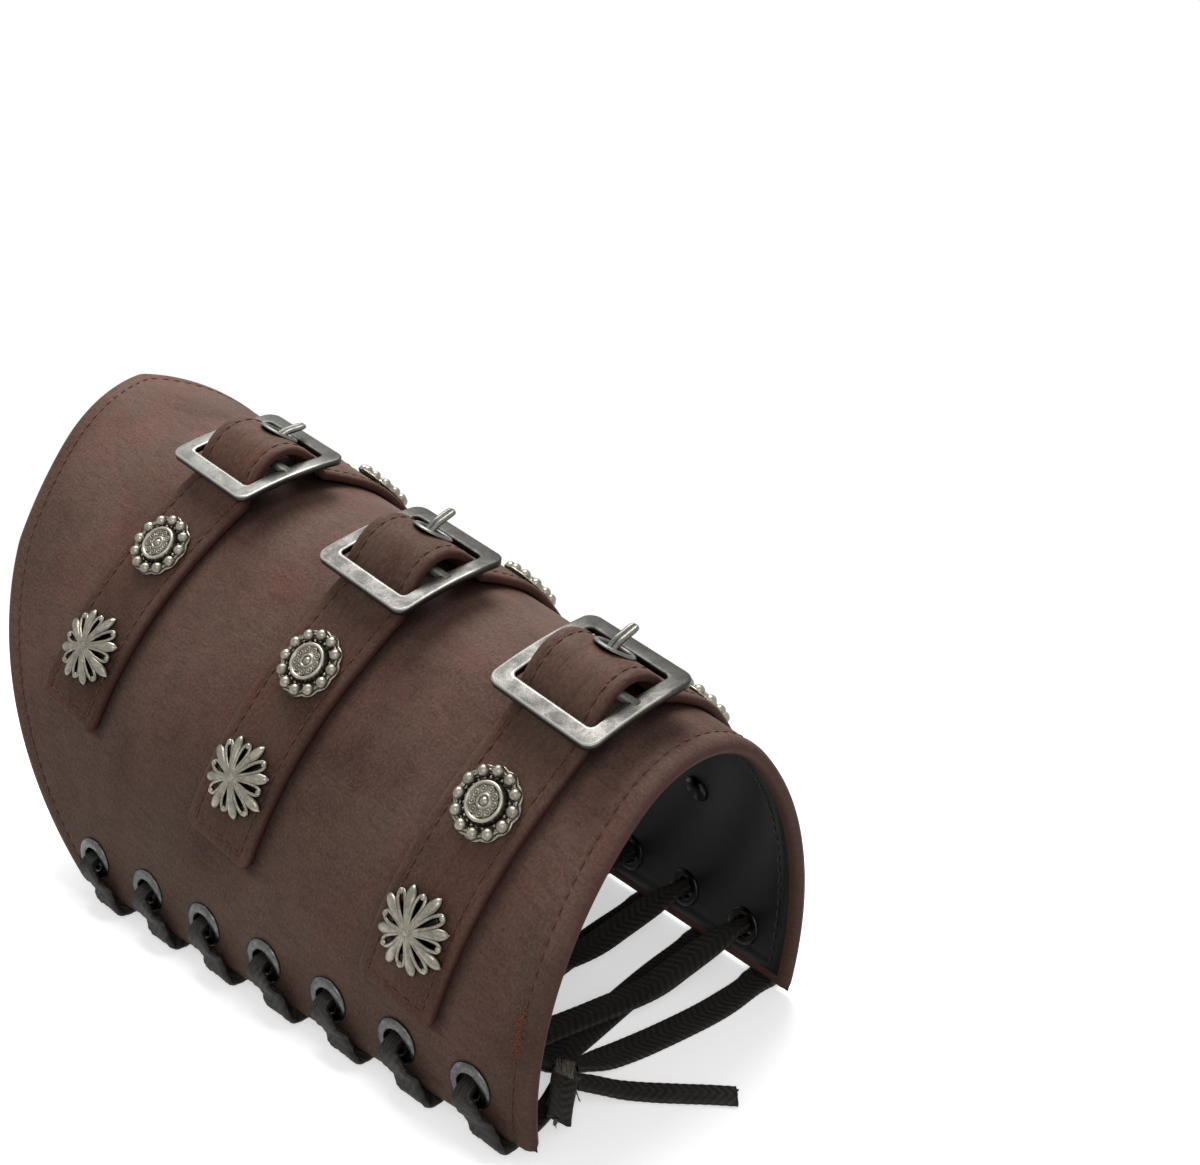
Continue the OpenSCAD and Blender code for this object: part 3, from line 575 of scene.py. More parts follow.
def lace_turn(side, k):
    top = hole_point(side, k, 0)[2]
    inside = -BODY_T - WASHER_T
    deep = hole_point(side, k, inside - INSIDE) - [0, 0, 1.2]
    return [[*deep, LACE_W - 0.6, LACE_T],
            [*hole_point(side, k, inside - 4), 6, 2.2],
            [*hole_point(side, k, inside - 1), HOLE_W, HOLE_T],
            [*hole_point(side, k, 1.5), HOLE_W, HOLE_T]] \
        + [outside_stop(side, k, out, top - z, *rest) for out, z, *rest in FROM_EYELET] \
        + [outside_stop(side, k, *stop) for stop in TO_FLOOR]


LEFT_HEIGHTS = [(-0.7, 2.6), (-0.45, 4.2), (0, 4.6), (0.4, 5.6), (0.62, 9)]
RIGHT_HEIGHTS = [(-0.6, 0.9), (-0.2, 0.9), (0.25, 0.9), (0.5, 1.5), (0.62, 4.5), (0.74, 9)]


def lace_cross(side, k):
    a = outside_stop(side, k, -INWARD, UNDER_Z, FALL + 0.3, 0, 0)
    b = hole_point(-side, k - 1, -BODY_T - WASHER_T - INSIDE)
    return [[-side * f * (abs(a[0]) + abs(b[0])) / 2, a[1] + (b[1] - a[1]) * (f + 1) / 2, h,
             LACE_W, LACE_T] for f, h in (LEFT_HEIGHTS if side < 0 else RIGHT_HEIGHTS)]


def strand(side):
    out = []
    for k in range(EYELETS - 1, -1, -1):
        s = side if (EYELETS - 1 - k) % 2 == 0 else -side
        out += lace_turn(s, k) + (lace_cross(s, k) if k else [])
    return out


bar_end = hole_point(1, EYELETS - 1, -BODY_T - WASHER_T - INSIDE)
FIRST_BAR = [[f * bar_end[0], bar_end[1], 3 + abs(f) * (bar_end[2] - 6), LACE_W, LACE_T]
             for f in (-0.75, -0.4, 0, 0.4, 0.75)]
KNOT_AT = np.array([-27, -117, 5.0])
NEAR_END = [[-38, -120.4, 1.6, 6, 2.4], [-30.6, -118, 4, 5, 2.4]]
FAR_END = [[30, -121.4, 0.9, LACE_W, LACE_T], [10, -119.6, 0.9, LACE_W, LACE_T],
           [-5, -117.6, 1.2, LACE_W, LACE_T], [-15, -116.4, 2.4, 7, 1.8],
           [-23, -115.6, 4.5, 5, 2.2]]
LACE_STOPS = (strand(-1) + NEAR_END)[::-1] + FIRST_BAR + strand(1) + FAR_END
TAIL_LONG = [[-26.5, -120.5, 4.4], [-22, -124, 3], [-17.5, -128, 1.6], [-12, -133, 0.9],
             [-6, -139, 0.9], [0, -144.8, 0.9], [5, -150, 0.9]]
TAIL_SHORT = [[-30, -119.4, 7.2], [-34, -122.6, 6.6], [-38, -125.8, 5.6], [-41, -128.4, 4.6]]

# Stations across the tape, from edge to edge
TAPE_AT = np.array([-1, -0.93, -0.78, -0.6, -0.42, -0.24, -0.08,
                    0.08, 0.24, 0.42, 0.6, 0.78, 0.93, 1])
TAPE_STEP, RIDGE_PITCH, RIDGE_DEEP, PLEAT_DEEP = 0.5, 2.3, 0.2, 0.45


def tape(shape, route, across, spread):
    """Woven tape along stops of [x, y, z, width, thickness]: a herringbone of raised ridges.
    Where it isn't gathered it spreads beyond its solid by that share."""
    r = smooth_route(route, TAPE_STEP)
    r[:, 3] *= 1 + spread * np.clip((r[:, 3] - 6) / 1.4, 0, 1)
    half, ht = r[:, 3:4] / 2, r[:, 4:5] / 2
    body = np.minimum(1, 1.15 * (1 - np.abs(TAPE_AT) ** 5) ** 0.5)
    gather = np.clip((LACE_W - r[:, 3:4]) / 2.6, 0, 1)
    s = np.arange(len(r))[:, None] * TAPE_STEP
    ridge = 0.5 + 0.5 * np.sin(2 * math.pi * (s / RIDGE_PITCH + 1.35 * np.abs(TAPE_AT)))
    pleat = 0.5 + 0.5 * np.cos(2 * math.pi * TAPE_AT * 2.6 + 0.6 * np.sin(s / 7))
    # Tone, low in the grooves between ridges and in the folds of gathered tape, where it paints
    # shade
    tone = (1 - gather) * (0.35 + 0.65 * ridge) + gather * (0.3 + 0.7 * pleat)
    h = body * (ht - RIDGE_DEEP * (1 - ridge) * (1 - gather) - PLEAT_DEEP * (1 - pleat) * gather)
    w = half * TAPE_AT
    sweep(shape, r[:, :3], across, np.concatenate([vec(w, h), vec(w, -h)[:, ::-1]], 1),
          uv=vec(s, np.concatenate([w, w[:, ::-1] + 20], 1)),
          tone=np.concatenate([tone, tone[:, ::-1]], 1))
    shape.v[-1][:, 2] = np.maximum(shape.v[-1][:, 2], 0.0)
    return r


def cut_end(shape, at, along, across, width, length, count, seed):
    """Short loose fibres at a cut end."""
    rng = np.random.default_rng(seed)
    along, across = unit(np.asarray(along, float)), unit(np.asarray(across, float))
    up = np.cross(along, across)
    for _ in range(count):
        o = at + across * rng.uniform(-0.5, 0.5) * width + up * rng.uniform(-0.4, 0.4)
        d = unit(along + across * rng.normal(0, 0.25) + up * rng.normal(0, 0.2))
        bend = across * rng.normal(0, 0.3) + up * rng.normal(0, 0.2)
        n = length * rng.uniform(0.4, 1)
        t = np.linspace(-0.6, 1, 5)[:, None]
        p = o + d * n * t + bend * (t ** 2) * n * 0.4
        p[:, 2] = np.maximum(p[:, 2], 0.2)
        sweep(shape, p, across + 0.01 * up, circle_ring(0.13, 5), tone=0.9)


def end_of(route):
    """Heading of a route at its cut end."""
    return route[-1, :3] - route[-4, :3]


shape = Shape()
tape(shape, LACE_STOPS, (0, 1, 0), 0.3)
shape.make("woven_lace", LACE, "lace", ["lace"])

shape = Shape()
tail = [[*p, TAIL_W - 0.3 * (i == 0), LACE_T] for i, p in enumerate(TAIL_LONG)]
tail_route = tape(shape, tail, (0.5, 0.9, 0), 0.15)
cut_end(shape, tail_route[-1, :3] - unit(end_of(tail_route)) * 1.2, end_of(tail_route),
        (0.87, 0.5, 0), TAIL_W - 0.6, 1.4, 46, 3)
tail_piece = shape.make("lace_long_end", LACE, "lace", ["lace_tail_long"])

shape = Shape()
short_route = tape(shape, [[*p, TAIL_W - 0.4, LACE_T] for p in TAIL_SHORT], (0.9, 0.3, 0), 0.3)
short_piece = shape.make("lace_short_end", LACE, "lace", ["lace_tail_short"])

# Loose fibres at the short end and over the knot
shape = Shape()
cut_end(shape, short_route[-8, :3], end_of(short_route), (0.9, 0.3, 0), TAIL_W - 1, 3.2, 90, 5)
cut_end(shape, KNOT_AT + [-3.4, -2.6, 2.4], (-0.35, -0.4, -0.85), (0.7, -0.7, 0), 4.5, 7.5, 90, 7)
fray_piece = shape.make("lace_short_fray", FRAY, "lace")


def knot_tilt(v):
    return about_y(math.radians(60), about_x(math.radians(20), v))


KNOT_SIDES, KNOT_CORD_R, KNOT_SCALE, KNOT_CORE_R = 12, 1.95, 1.12, 3.0
shape = Shape()
a = whole_turn(161)
reach = 2 + np.cos(3 * a)
loop = vec(reach * np.cos(2 * a), reach * np.sin(2 * a), 1.1 * np.sin(3 * a))
flat = vec(np.cos(2 * a), np.sin(2 * a), 0.0)
round_knot = np.arange(KNOT_SIDES)
# Tone round the cord dips three times, painting shade in the grooves between its strands
sweep(shape, KNOT_AT + knot_tilt(loop * KNOT_SCALE), knot_tilt(flat * 0.3 + [0, 0, 1]),
      circle_ring(KNOT_CORD_R, KNOT_SIDES, 0.62), closed=True,
      uv=vec((a * 9)[:, None], round_knot * 0.6),
      tone=np.tile(0.6 + 0.4 * np.sin(round_knot * math.pi / 1.5), len(a)))
# Core of the knot at low tone, painted dark as shade among its loops
ball(shape, np.eye(4), KNOT_AT, KNOT_CORE_R, 16, 1, 0.3)
knot_piece = shape.make("lace_knot_turns", LACE, "lace", ["lace_knot"])


# ---- Body of rolled leather
def profile_insets(r):
    return r * (1 - np.cos(np.radians([0, 18, 38, 62, 90])))


def edge_drop(ea, eb, r, half):
    """How far a sheet's rounded edge has dropped at insets ea and eb from two of its edges."""
    e = np.maximum(0, r - np.hypot(np.maximum(0, r - ea), np.maximum(0, r - eb)))
    q = np.clip(1 - e / r, 0, 1)
    return half * (1 - np.sqrt(np.maximum(0, 1 - q * q)))


NEAR = np.concatenate([profile_insets(BODY_ROUND), [3.4, 4.7, 5.4, 5.9, 6.4, 7.1, 8.4]])
ACROSS_N, ALONG_N, GRID_ROUNDS, INNER = 190, 118, 30, 99.0
E_LAST = NEAR[-1]
edge_tables = {e: edge_polar_table(e) for e in NEAR}


def stations(near_side, far_side, n, start):
    return [(near_side, e) for e in NEAR] + [("M", f) for f in np.linspace(start, 1, n)[1:-1]] \
        + [(far_side, e) for e in NEAR[::-1]]


def body_grid():
    """Polar angle and reach of every place of the sheet, and its insets from the edges."""
    cols, rows = stations("L", "R", ACROSS_N, -1), stations("W", "E", ALONG_N, 0)
    side = {"L": -1, "R": 1}
    share = np.array([side.get(kind, q) for kind, q in cols])
    p = np.tile(share[:, None] * math.radians(11), len(rows))
    for _ in range(GRID_ROUNDS):
        r = np.zeros_like(p)
        for j, (kind, q) in enumerate(rows):
            a, b = wrist_reach(p[:, j], E_LAST), elbow_reach(p[:, j], E_LAST)
            r[:, j] = wrist_reach(p[:, j], q) if kind == "W" else \
                elbow_reach(p[:, j], q) if kind == "E" else a + (b - a) * q
        new = np.zeros_like(p)
        for i, (kind, q) in enumerate(cols):
            t = edge_tables[E_LAST if kind == "M" else q]
            new[i] = np.interp(r[i], R_ROW, t) * share[i]
        p = 0.5 * p + 0.5 * new
    ea, eb = (np.array([q if k != "M" else INNER for k, q in line]) for line in (cols, rows))
    return p, r, ea[:, None], eb[None, :]


P, R, EA, EB = body_grid()
HOLES = [eyelet_place(s, k) for s in (-1, 1) for k in range(EYELETS)]


def flat_xy(p, r):
    return vec(r * np.sin(p), r * np.cos(p) - FLAT_R)


def open_holes(xy, faces, holes, cut, push):
    """Drops the faces inside each hole and pushes its ragged edge out to a circle."""
    centre = xy[faces].mean(1)
    keep = np.ones(len(faces), bool)
    for h in holes:
        keep &= np.linalg.norm(centre - h, axis=1) > cut
        d = xy - h
        n = np.linalg.norm(d, axis=1)
        near = (n < push) & (n > 1e-6)
        xy[near] = h + d[near] / n[near, None] * push
    return xy, faces[keep]


LOW_FACE_U = 400        # keeps the lower face's flat map away from the upper face's


def strap_painted_shadow(xy):
    """Painted shadow beside each strap, more of it on the wrist's side, where the straps cast
    shade.
    """
    on_strap = np.abs(xy[:, 0] - STRAP_OFFSET) < STRAP_LENGTH / 2 + 1
    out = np.zeros(len(xy))
    for y in STRAP_Y.values():
        past = np.abs(xy[:, 1] - y) - STRAP_W / 2
        amount = np.where(xy[:, 1] < y, 0.75, 0.3)
        out = np.maximum(out, amount * np.exp(-(np.maximum(past, 0) / 2.4) ** 2))
    return out * on_strap


def body_sheet():
    xy = flat_xy(P, R).reshape(-1, 2)
    xy, faces = open_holes(xy, quads(*P.shape), HOLES, HOLE_CUT, HOLE_EDGE)
    x, y = xy.T
    edge = np.minimum(EA, EB).ravel()
    drop = edge_drop(EA, EB, BODY_ROUND, BODY_T / 2).ravel()
    groove = np.broadcast_to(0.3 * np.exp(-((EB - RIM_SEAM) / 0.55) ** 2), P.shape).ravel()
    wave = 0.22 * np.sin(x / 23 + 1) * np.sin(y / 31 + x / 60) * np.clip((edge - 2) / 8, 0, 1)
    puff = 0.25 * np.exp(-((edge - 3.2) / 1.6) ** 2) * (drop < 0.5)
    tone = 1 - np.clip((drop - 0.3) / 0.8, 0, 1)
    worn = np.clip(1 - np.abs(edge - 2.2) / 1.6, 0, 1) * 0.35
    # Painted shadow beside the straps, carried as tone above 1
    strap_shadow = strap_painted_shadow(xy)
    shape = Shape()
    shape.add(skin(x, y, -drop - groove + wave * 0.5 + puff - 0.15), faces, xy,
              np.where(strap_shadow > 0.02, 1 + strap_shadow, np.minimum(tone, 1 - worn)))
    shape.add(skin(x, y, drop - BODY_T), faces[:, ::-1], xy + [LOW_FACE_U, 0], 0.25)
    return shape


def lining_sheet():
    """A thin black sheet inside, with its own rounded edge."""
    inner = np.minimum(EA, EB) >= 3.0
    ii, jj = np.where(inner.any(1))[0], np.where(inner.any(0))[0]
    xy = flat_xy(P[np.ix_(ii, jj)], R[np.ix_(ii, jj)]).reshape(-1, 2)
    xy, faces = open_holes(xy, quads(len(ii), len(jj)), HOLES, HOLE_CUT, HOLE_EDGE)
    edge = np.minimum(EA[ii], EB[:, jj]).ravel()
    lift = 0.35 * np.clip((edge - 3.3) / 1.0, 0, 1) \
        - 0.15 * np.exp(-((edge - LINING_SEAM) / 0.8) ** 2)
    shape = Shape()
    shape.add(skin(xy[:, 0], xy[:, 1], -BODY_T - lift + 0.05), faces[:, ::-1], xy)
    return shape


body_sheet().make("leather_shell", LEATHER, "outer_leather", ["outer_leather", "stiffener"],
                  weld=True)
lining_sheet().make("lining_sheet", LINING, "lining", ["lining"])


# ---- Stitches
def stitches(thread, path, normals, pitch, lift=0.1):
    """Sunk stitches along path, and after each a dark disc, painted shade for its needle hole."""
    data = np.concatenate([path, normals], 1)
    data = even_steps(data, run_length(gaps(data)), SEAM_STEP, 2)
    n = int(len(data) * SEAM_STEP / pitch)
    step = len(data) / n
    for i in range(n):
        a, b = int(i * step), min(len(data) - 1, int((i + 0.86) * step))
        pts = data[np.linspace(a, b, 5).astype(int)]
        nn = unit(pts[:, 3:])
        rise = np.array([-0.45, 0.12, 0.2, 0.12, -0.45])[:, None]
        line = pts[:, :3] + nn * (lift + rise)
        across = np.cross(unit(line[-1] - line[0]), nn[2])
        size = np.array([0.6, 1, 1.05, 1, 0.6])[:, None, None]
        sweep(thread, line, across, circle_ring(STITCH_R, 6, 0.8) * size)
        at = data[min(len(data) - 1, int((i + 0.93) * step))]
        nz = unit(at[3:])
        m = frame_of(unit(across - (across @ nz) * nz), nz, at[:3] + nz * (lift - 0.12))
        # Dark disc, painted shade for the needle hole
        lathe(holes, m, [(0.48, 0), (1e-4, 0.03)], 8)


SEAM_TABLE = edge_polar_table(5.0)


def rim_seams(thread, inset, depth, facing, lift):
    """Stitches along both rims, on the outside (facing 1) or on the lining (facing -1)."""
    for reach in (wrist_reach, elbow_reach):
        along = np.linspace(-1, 1, 1200)
        p = along * math.radians(10.6)
        for _ in range(20):
            p = along * np.interp(reach(p, inset), R_ROW, SEAM_TABLE)
        stitches(thread, polar_point(p, reach(p, inset), depth),
                 facing * polar_turn(p, [0, 0, 1]), RIM_PITCH, lift)


thread, holes = Shape(), Shape()
rim_seams(thread, RIM_SEAM, -0.42, 1, 0.1)
shape = Shape()
rim_seams(shape, LINING_SEAM, -BODY_T - 0.2, -1, 0.05)
shape.make("lining_stitches", plain_material("black_thread", (0.03, 0.022, 0.022), 0.6, 0.3, 1.5),
           "lining")


# ---- Straps
def bell(u, half, power):
    wave = np.cos(np.clip(np.pi * u / (2 * half), -np.pi / 2, np.pi / 2))
    return np.where(np.abs(u) < half, np.maximum(wave, 0) ** power, 0)


HUMP_LIFT = HUMP_CREST + BUCKLE_H - SEAT - STRAP_T


def skin_radius(x, y):
    wide = np.abs(np.arctan2(x, y + FLAT_R)) > CROWN_FLAT
    return np.hypot(x, y + FLAT_R) * np.where(wide, math.sin(SIDE_CONE), math.sin(CROWN_CONE))


def strap_lift(u):
    return FOOT_LIFT * bell(u, FOOT_HALF, FOOT_POWER) \
        + (HUMP_LIFT - FOOT_LIFT) * bell(u - HUMP_SHIFT, HUMP_HALF, HUMP_POWER)


def strap_stretch(u, y):
    """How much longer a raised strap is than the skin under it."""
    return 1 + (SEAT + STRAP_T / 2 + strap_lift(u)) / skin_radius(BUCKLE_X + u, y)


def strap_slope(u, y):
    return np.arctan((strap_lift(u + 0.01) - strap_lift(u - 0.01)) * 50 / strap_stretch(u, y))


def strap_point(x, y, tau):
    """Place on a strap: tau is measured from its middle, through its thickness."""
    u = x - BUCKLE_X
    a = strap_slope(u, y)
    back = tau * np.sin(a) / strap_stretch(u, y)
    return skin(x - back, y, SEAT + STRAP_T / 2 + strap_lift(u) + tau * np.cos(a))


STRAP_NEAR = np.concatenate([profile_insets(STRAP_ROUND), [1.9, 2.7, 3.2, 3.7, 4.2, 4.9]])
STRAP_U = 700           # each strap has its own place on the flat map
first, last = STRAP_OFFSET - STRAP_LENGTH / 2, STRAP_OFFSET + STRAP_LENGTH / 2


def between_edges(a, b, n):
    near = STRAP_NEAR
    return np.concatenate([a + near, np.linspace(a + near[-1], b - near[-1], n)[1:-1],
                           b - near[::-1]])


def make_strap(name):
    yc, half = STRAP_Y[name], STRAP_W / 2
    xs, ws = between_edges(first, last, 200)[:, None], between_edges(-half, half, 16)
    ea, eb = np.minimum(xs - first, last - xs), half - np.abs(ws)
    edge = np.minimum(ea, eb)
    drop = edge_drop(ea, eb, STRAP_ROUND, STRAP_T / 2)
    groove = 0.28 * np.exp(-((edge - STRAP_SEAM) / 0.5) ** 2)
    puff = 0.12 * np.exp(-((edge - 1.9) / 0.8) ** 2)
    # Hole for the strap's eyelet
    su = BUCKLE_X + GROMMET_AT
    longer = float(strap_stretch(GROMMET_AT, yc) / np.cos(strap_slope(GROMMET_AT, yc)))
    narrow = 1 - np.maximum(0, STRAP_CHAMFER - ea) / half
    fl, faces = open_holes(vec((xs - su) * longer, ws * narrow).reshape(-1, 2), quads(*edge.shape),
                           [np.zeros(2)], RING_CUT, RING_EDGE)
    x, w = fl[:, 0] / longer + su, fl[:, 1]
    shape = Shape()
    uv = vec(w + STRAP_U + yc, x)
    tone = 1 - np.clip((drop.ravel() - 0.25) / 0.5, 0, 1)
    top = STRAP_T / 2 - (drop + groove - puff).ravel() - 0.05
    shape.add(strap_point(x, yc + w, top), faces, uv, tone)
    shape.add(strap_point(x, yc + w, -STRAP_T / 2 + drop.ravel()), faces[:, ::-1], uv, 0.3)
    shape.make("strap_band_" + name, STRAP_LEATHER, "strap_leather", ["strap_" + name], weld=True)
    # Stitching down both sides and across the ends
    seam = half - STRAP_SEAM
    xa = np.linspace(first + END_SEAM, last - END_SEAM, 900)
    wa = np.linspace(-seam, seam, 100)
    for x, y in [(xa, yc + w + 0 * xa) for w in (-seam, seam)] \
            + [(x + 0 * wa, yc + wa) for x in (first + END_SEAM, last - END_SEAM)]:
        pts = strap_point(x, y, STRAP_T / 2 - 0.3)
        stitches(thread, pts, strap_point(x, y, STRAP_T / 2 + 1) - pts, STRAP_PITCH)


def frayed_stitches(shape, count, seed):
    """Short loose ends where the wrist rim's stitching has worn through, near the laced corner."""
    rng = np.random.default_rng(seed)
    t = np.linspace(-0.3, 1, 5)[:, None]
    for _ in range(count):
        p = rng.uniform(WORN_FROM, WORN_TO)
        out = polar_turn(p, [0, 0, 1])
        at = polar_point(p, wrist_reach(p, RIM_SEAM) + rng.normal(0, 0.7), -0.25)
        aside = polar_turn(p, [rng.normal(0, 1), rng.normal(0, 0.7), 0])
        d = unit(aside + out * rng.uniform(0.1, 0.6))
        n = rng.uniform(0.8, 2.0)
        line = at + d * n * t - out * n * 0.3 * t ** 2
        sweep(shape, line, np.cross(d, out), circle_ring(0.16, 5))


for name in STRAP_Y:
    make_strap(name)
thread.make("red_stitches", THREAD, "strap_leather")
shape = Shape()
frayed_stitches(shape, 170, 8)
shape.make("worn_stitches", WORN_THREAD, "strap_leather")
holes.make("needle_hole_shades", HOLE_SHADE, "strap_leather")


# ---- Buckles
def rounded_square(l, w, r, corner=10, side=14):
    arcs = []
    for q, (sx, sy) in enumerate(((1, 1), (-1, 1), (-1, -1), (1, -1))):
        t = (q + np.linspace(0, 1, corner)) * math.pi / 2
        arcs.append(vec(sx * (l / 2 - r) + r * np.cos(t), sy * (w / 2 - r) + r * np.sin(t)))
    return np.concatenate([np.concatenate([a, np.linspace(a[-1], b[0], side)[1:-1]])
                           for a, b in zip(arcs, arcs[1:] + arcs[:1])])


ARCH_R = (BUCKLE_SIDE / 2) ** 2 / (2 * BUCKLE_ARCH) + BUCKLE_ARCH / 2
# A bar's section: how far from its outer to its inner side, height in thirds of its thickness,
# and tone, which below 1 paints shade on the bar's sides and underside and above 1 a worn bright
# edge
SECTION = np.array([
    (0, -1.15, 0.45), (0, 1.0, 0.8), (0.03, 1.3, 1.3), (0.1, 1.46, 1.2), (0.2, 1.5, 0.9),
    (0.8, 1.5, 0.9), (0.9, 1.46, 1.2), (0.97, 1.3, 1.3), (1, 1.0, 0.7), (1, -1.15, 0.25),
    (0.9, -1.5, 0.2), (0.1, -1.5, 0.2)])
# Painted shade on the far bar: its strength, where it starts and how far it takes to set in
FAR_BAR_SHADE, FAR_BAR_SHADE_FROM, FAR_BAR_SHADE_OVER = 0.62, 6, 9


def make_buckle(name, mat):
    m = skin_frame(BUCKLE_X, STRAP_Y[name], BUCKLE_H)
    out = rounded_square(BUCKLE_SIDE, BUCKLE_SIDE, BUCKLE_CORNER)
    inn = rounded_square(WINDOW_L, WINDOW_W, WINDOW_CORNER)
    xy = out[:, None] + (inn - out)[:, None] * SECTION[None, :, :1]
    a = np.arcsin(xy[..., 0] / ARCH_R)
    h = SECTION[None, :, 1] * BUCKLE_T / 3
    pts = vec(xy[..., 0] + h * np.sin(a), xy[..., 1], ARCH_R * (np.cos(a) - 1) + h * np.cos(a))
    # Painted shade: the bar beyond the prong's tip is painted darker, in place of the darker
    # reflection it would have
    unshaded = 1 - FAR_BAR_SHADE * np.clip((xy[..., 0].mean(1) - FAR_BAR_SHADE_FROM) / FAR_BAR_SHADE_OVER, 0, 1)
    shape = Shape()
    shape.add(place(m, pts.reshape(-1, 3)), quads(len(out), len(SECTION), True, True),
              tone=SECTION[None, :, 2] * unshaded[:, None])
    half = (BUCKLE_SIDE + WINDOW_W) / 4
    lathe(shape, laid_along_y(m), [(1e-4, -half), (BAR_R, -half), (BAR_R, half), (1e-4, half)], 24)
    shape.make("buckle_frame_" + name, mat, "buckle_metal", ["buckle_" + name])


# A prong's section, by shares of its half width and half thickness, and tone; tone below 1 paints
# shade in its middle groove and underneath
PRONG_SECTION = [(-1, -0.4, 0.8), (-1, 0.35, 1), (-0.82, 0.85, 1), (-0.5, 1, 1), (-0.18, 0.82, 0.8),
                 (0, 0.35, 0.1), (0.18, 0.82, 0.8), (0.5, 1, 1), (0.82, 0.85, 1), (1, 0.35, 1),
                 (1, -0.4, 0.8), (0.7, -1, 0.7), (0, -0.8, 0.5), (-0.7, -1, 0.7)]


def make_prong(name):
    m = pitched(skin_frame(BUCKLE_X, STRAP_Y[name], BUCKLE_H), PRONG_ANGLE[name])
    shape = Shape()
    w = PRONG_W / 2
    eye = [(BAR_R + 0.06, w - 0.2), (1.8, w), (2.5, w), (PRONG_EYE_R, w - 0.3), (PRONG_EYE_R, 0.25)]
    eye = [(r, -y) for r, y in eye] + [(PRONG_EYE_R - 0.25, 0)] + eye[::-1]
    lathe(shape, laid_along_y(m), eye, 32, closed=True)
    bend = np.array([PRONG_BEND_AT, 0, PRONG_RISE])
    down = np.array([math.cos(PRONG_BEND), 0, -math.sin(PRONG_BEND)])
    tip = bend + (PRONG_REACH - PRONG_BEND_AT - 0.35) * down
    line = [[x, 0, PRONG_RISE] for x in (1.7, *np.linspace(3, PRONG_BEND_AT - 1, 6))]
    line += [bend - [0, 0, 0.03]]
    line += [bend + (tip - bend) * t for t in (0.12, 0.3, 0.5, 0.7, 0.85, 0.94, 1.0)]
    size = np.ones(len(line))
    size[-3:] = (0.93, 0.78, 0.35)
    ring = np.array([(x * w, z * PRONG_T / 2) for x, z, _ in PRONG_SECTION])
    sweep(shape, line, (0, 1, 0), ring[None] * size[:, None, None],
          tone=[t for *_, t in PRONG_SECTION] * len(line), m=m)
    shape.make("prong_strip_" + name, PEWTER, "prong_metal", ["prong_" + name], "prong_" + name)


def strap_frame(u, y):
    """Frame on a strap's upper face at distance u from the middle of its buckle."""
    m = skin_frame(BUCKLE_X + u, y, SEAT + STRAP_T / 2 + float(strap_lift(u)))
    m = pitched(m, float(strap_slope(u, y)))
    m[:3, 3] += m[:3, 2] * STRAP_T / 2
    return m


for name in STRAP_Y:
    # The middle and wrist buckles take the darker copy of the pewter, which paints shade on them
    make_buckle(name, GREY_PEWTER if name == "elbow" else SHADED_PEWTER)
    make_prong(name)
    shape = Shape()
    b, r = GROMMET_BORE / 2, GROMMET_D / 2
    # Radius, height and tone: the low tones paint shade in the bore and underneath
    ring = [(b, -STRAP_T, 0.2), (b, 0.1, 0.6), (b + 0.12, 0.5, 1), (b + 0.5, 0.8, 1),
            (b + 0.95, 0.78, 0.95), (r - 0.25, 0.4, 0.9), (r, 0.05, 1), (r - 0.1, -0.05, 0.6),
            (b + 0.5, -0.1, 0.3), (b + 0.5, -STRAP_T, 0.2)]
    lathe(shape, strap_frame(GROMMET_AT, STRAP_Y[name]), ring, 48, closed=True)
    shape.make("strap_ring_" + name, PEWTER, "stud_metal", ["strap_eyelet_" + name])


# ---- Studs
def turned(r, a, z):
    return vec(r * np.cos(a), r * np.sin(a), z)


# Radius, height and tone of the rosette's face: tone below 1 paints shade in its grooves, above 1
# worn bright rims
ROSETTE_FACE = [
    (5.95, 0.3, 0.1), (5.85, 1.1, 0.45), (5.6, 2.0, 0.7), (5.5, 2.6, 1.0), (5.25, 2.95, 1.15),
    (4.85, 3.02, 1.15), (4.55, 2.85, 0.95), (4.4, 2.5, 0.35), (3.4, 2.62, 0.7), (2.2, 2.72, 0.5),
    (2.0, 2.95, 0.9), (1.75, 3.05, 1.1), (1.5, 2.95, 0.8), (1.38, 2.72, 0.25), (1.1, 2.75, 0.5),
    (0.85, 3.05, 0.9), (0.5, 3.25, 1), (1e-4, 3.3, 1)]
SMALL_RINGS, SMALL_RING_AT, SMALL_RING_R = 9, 3.3, 0.82


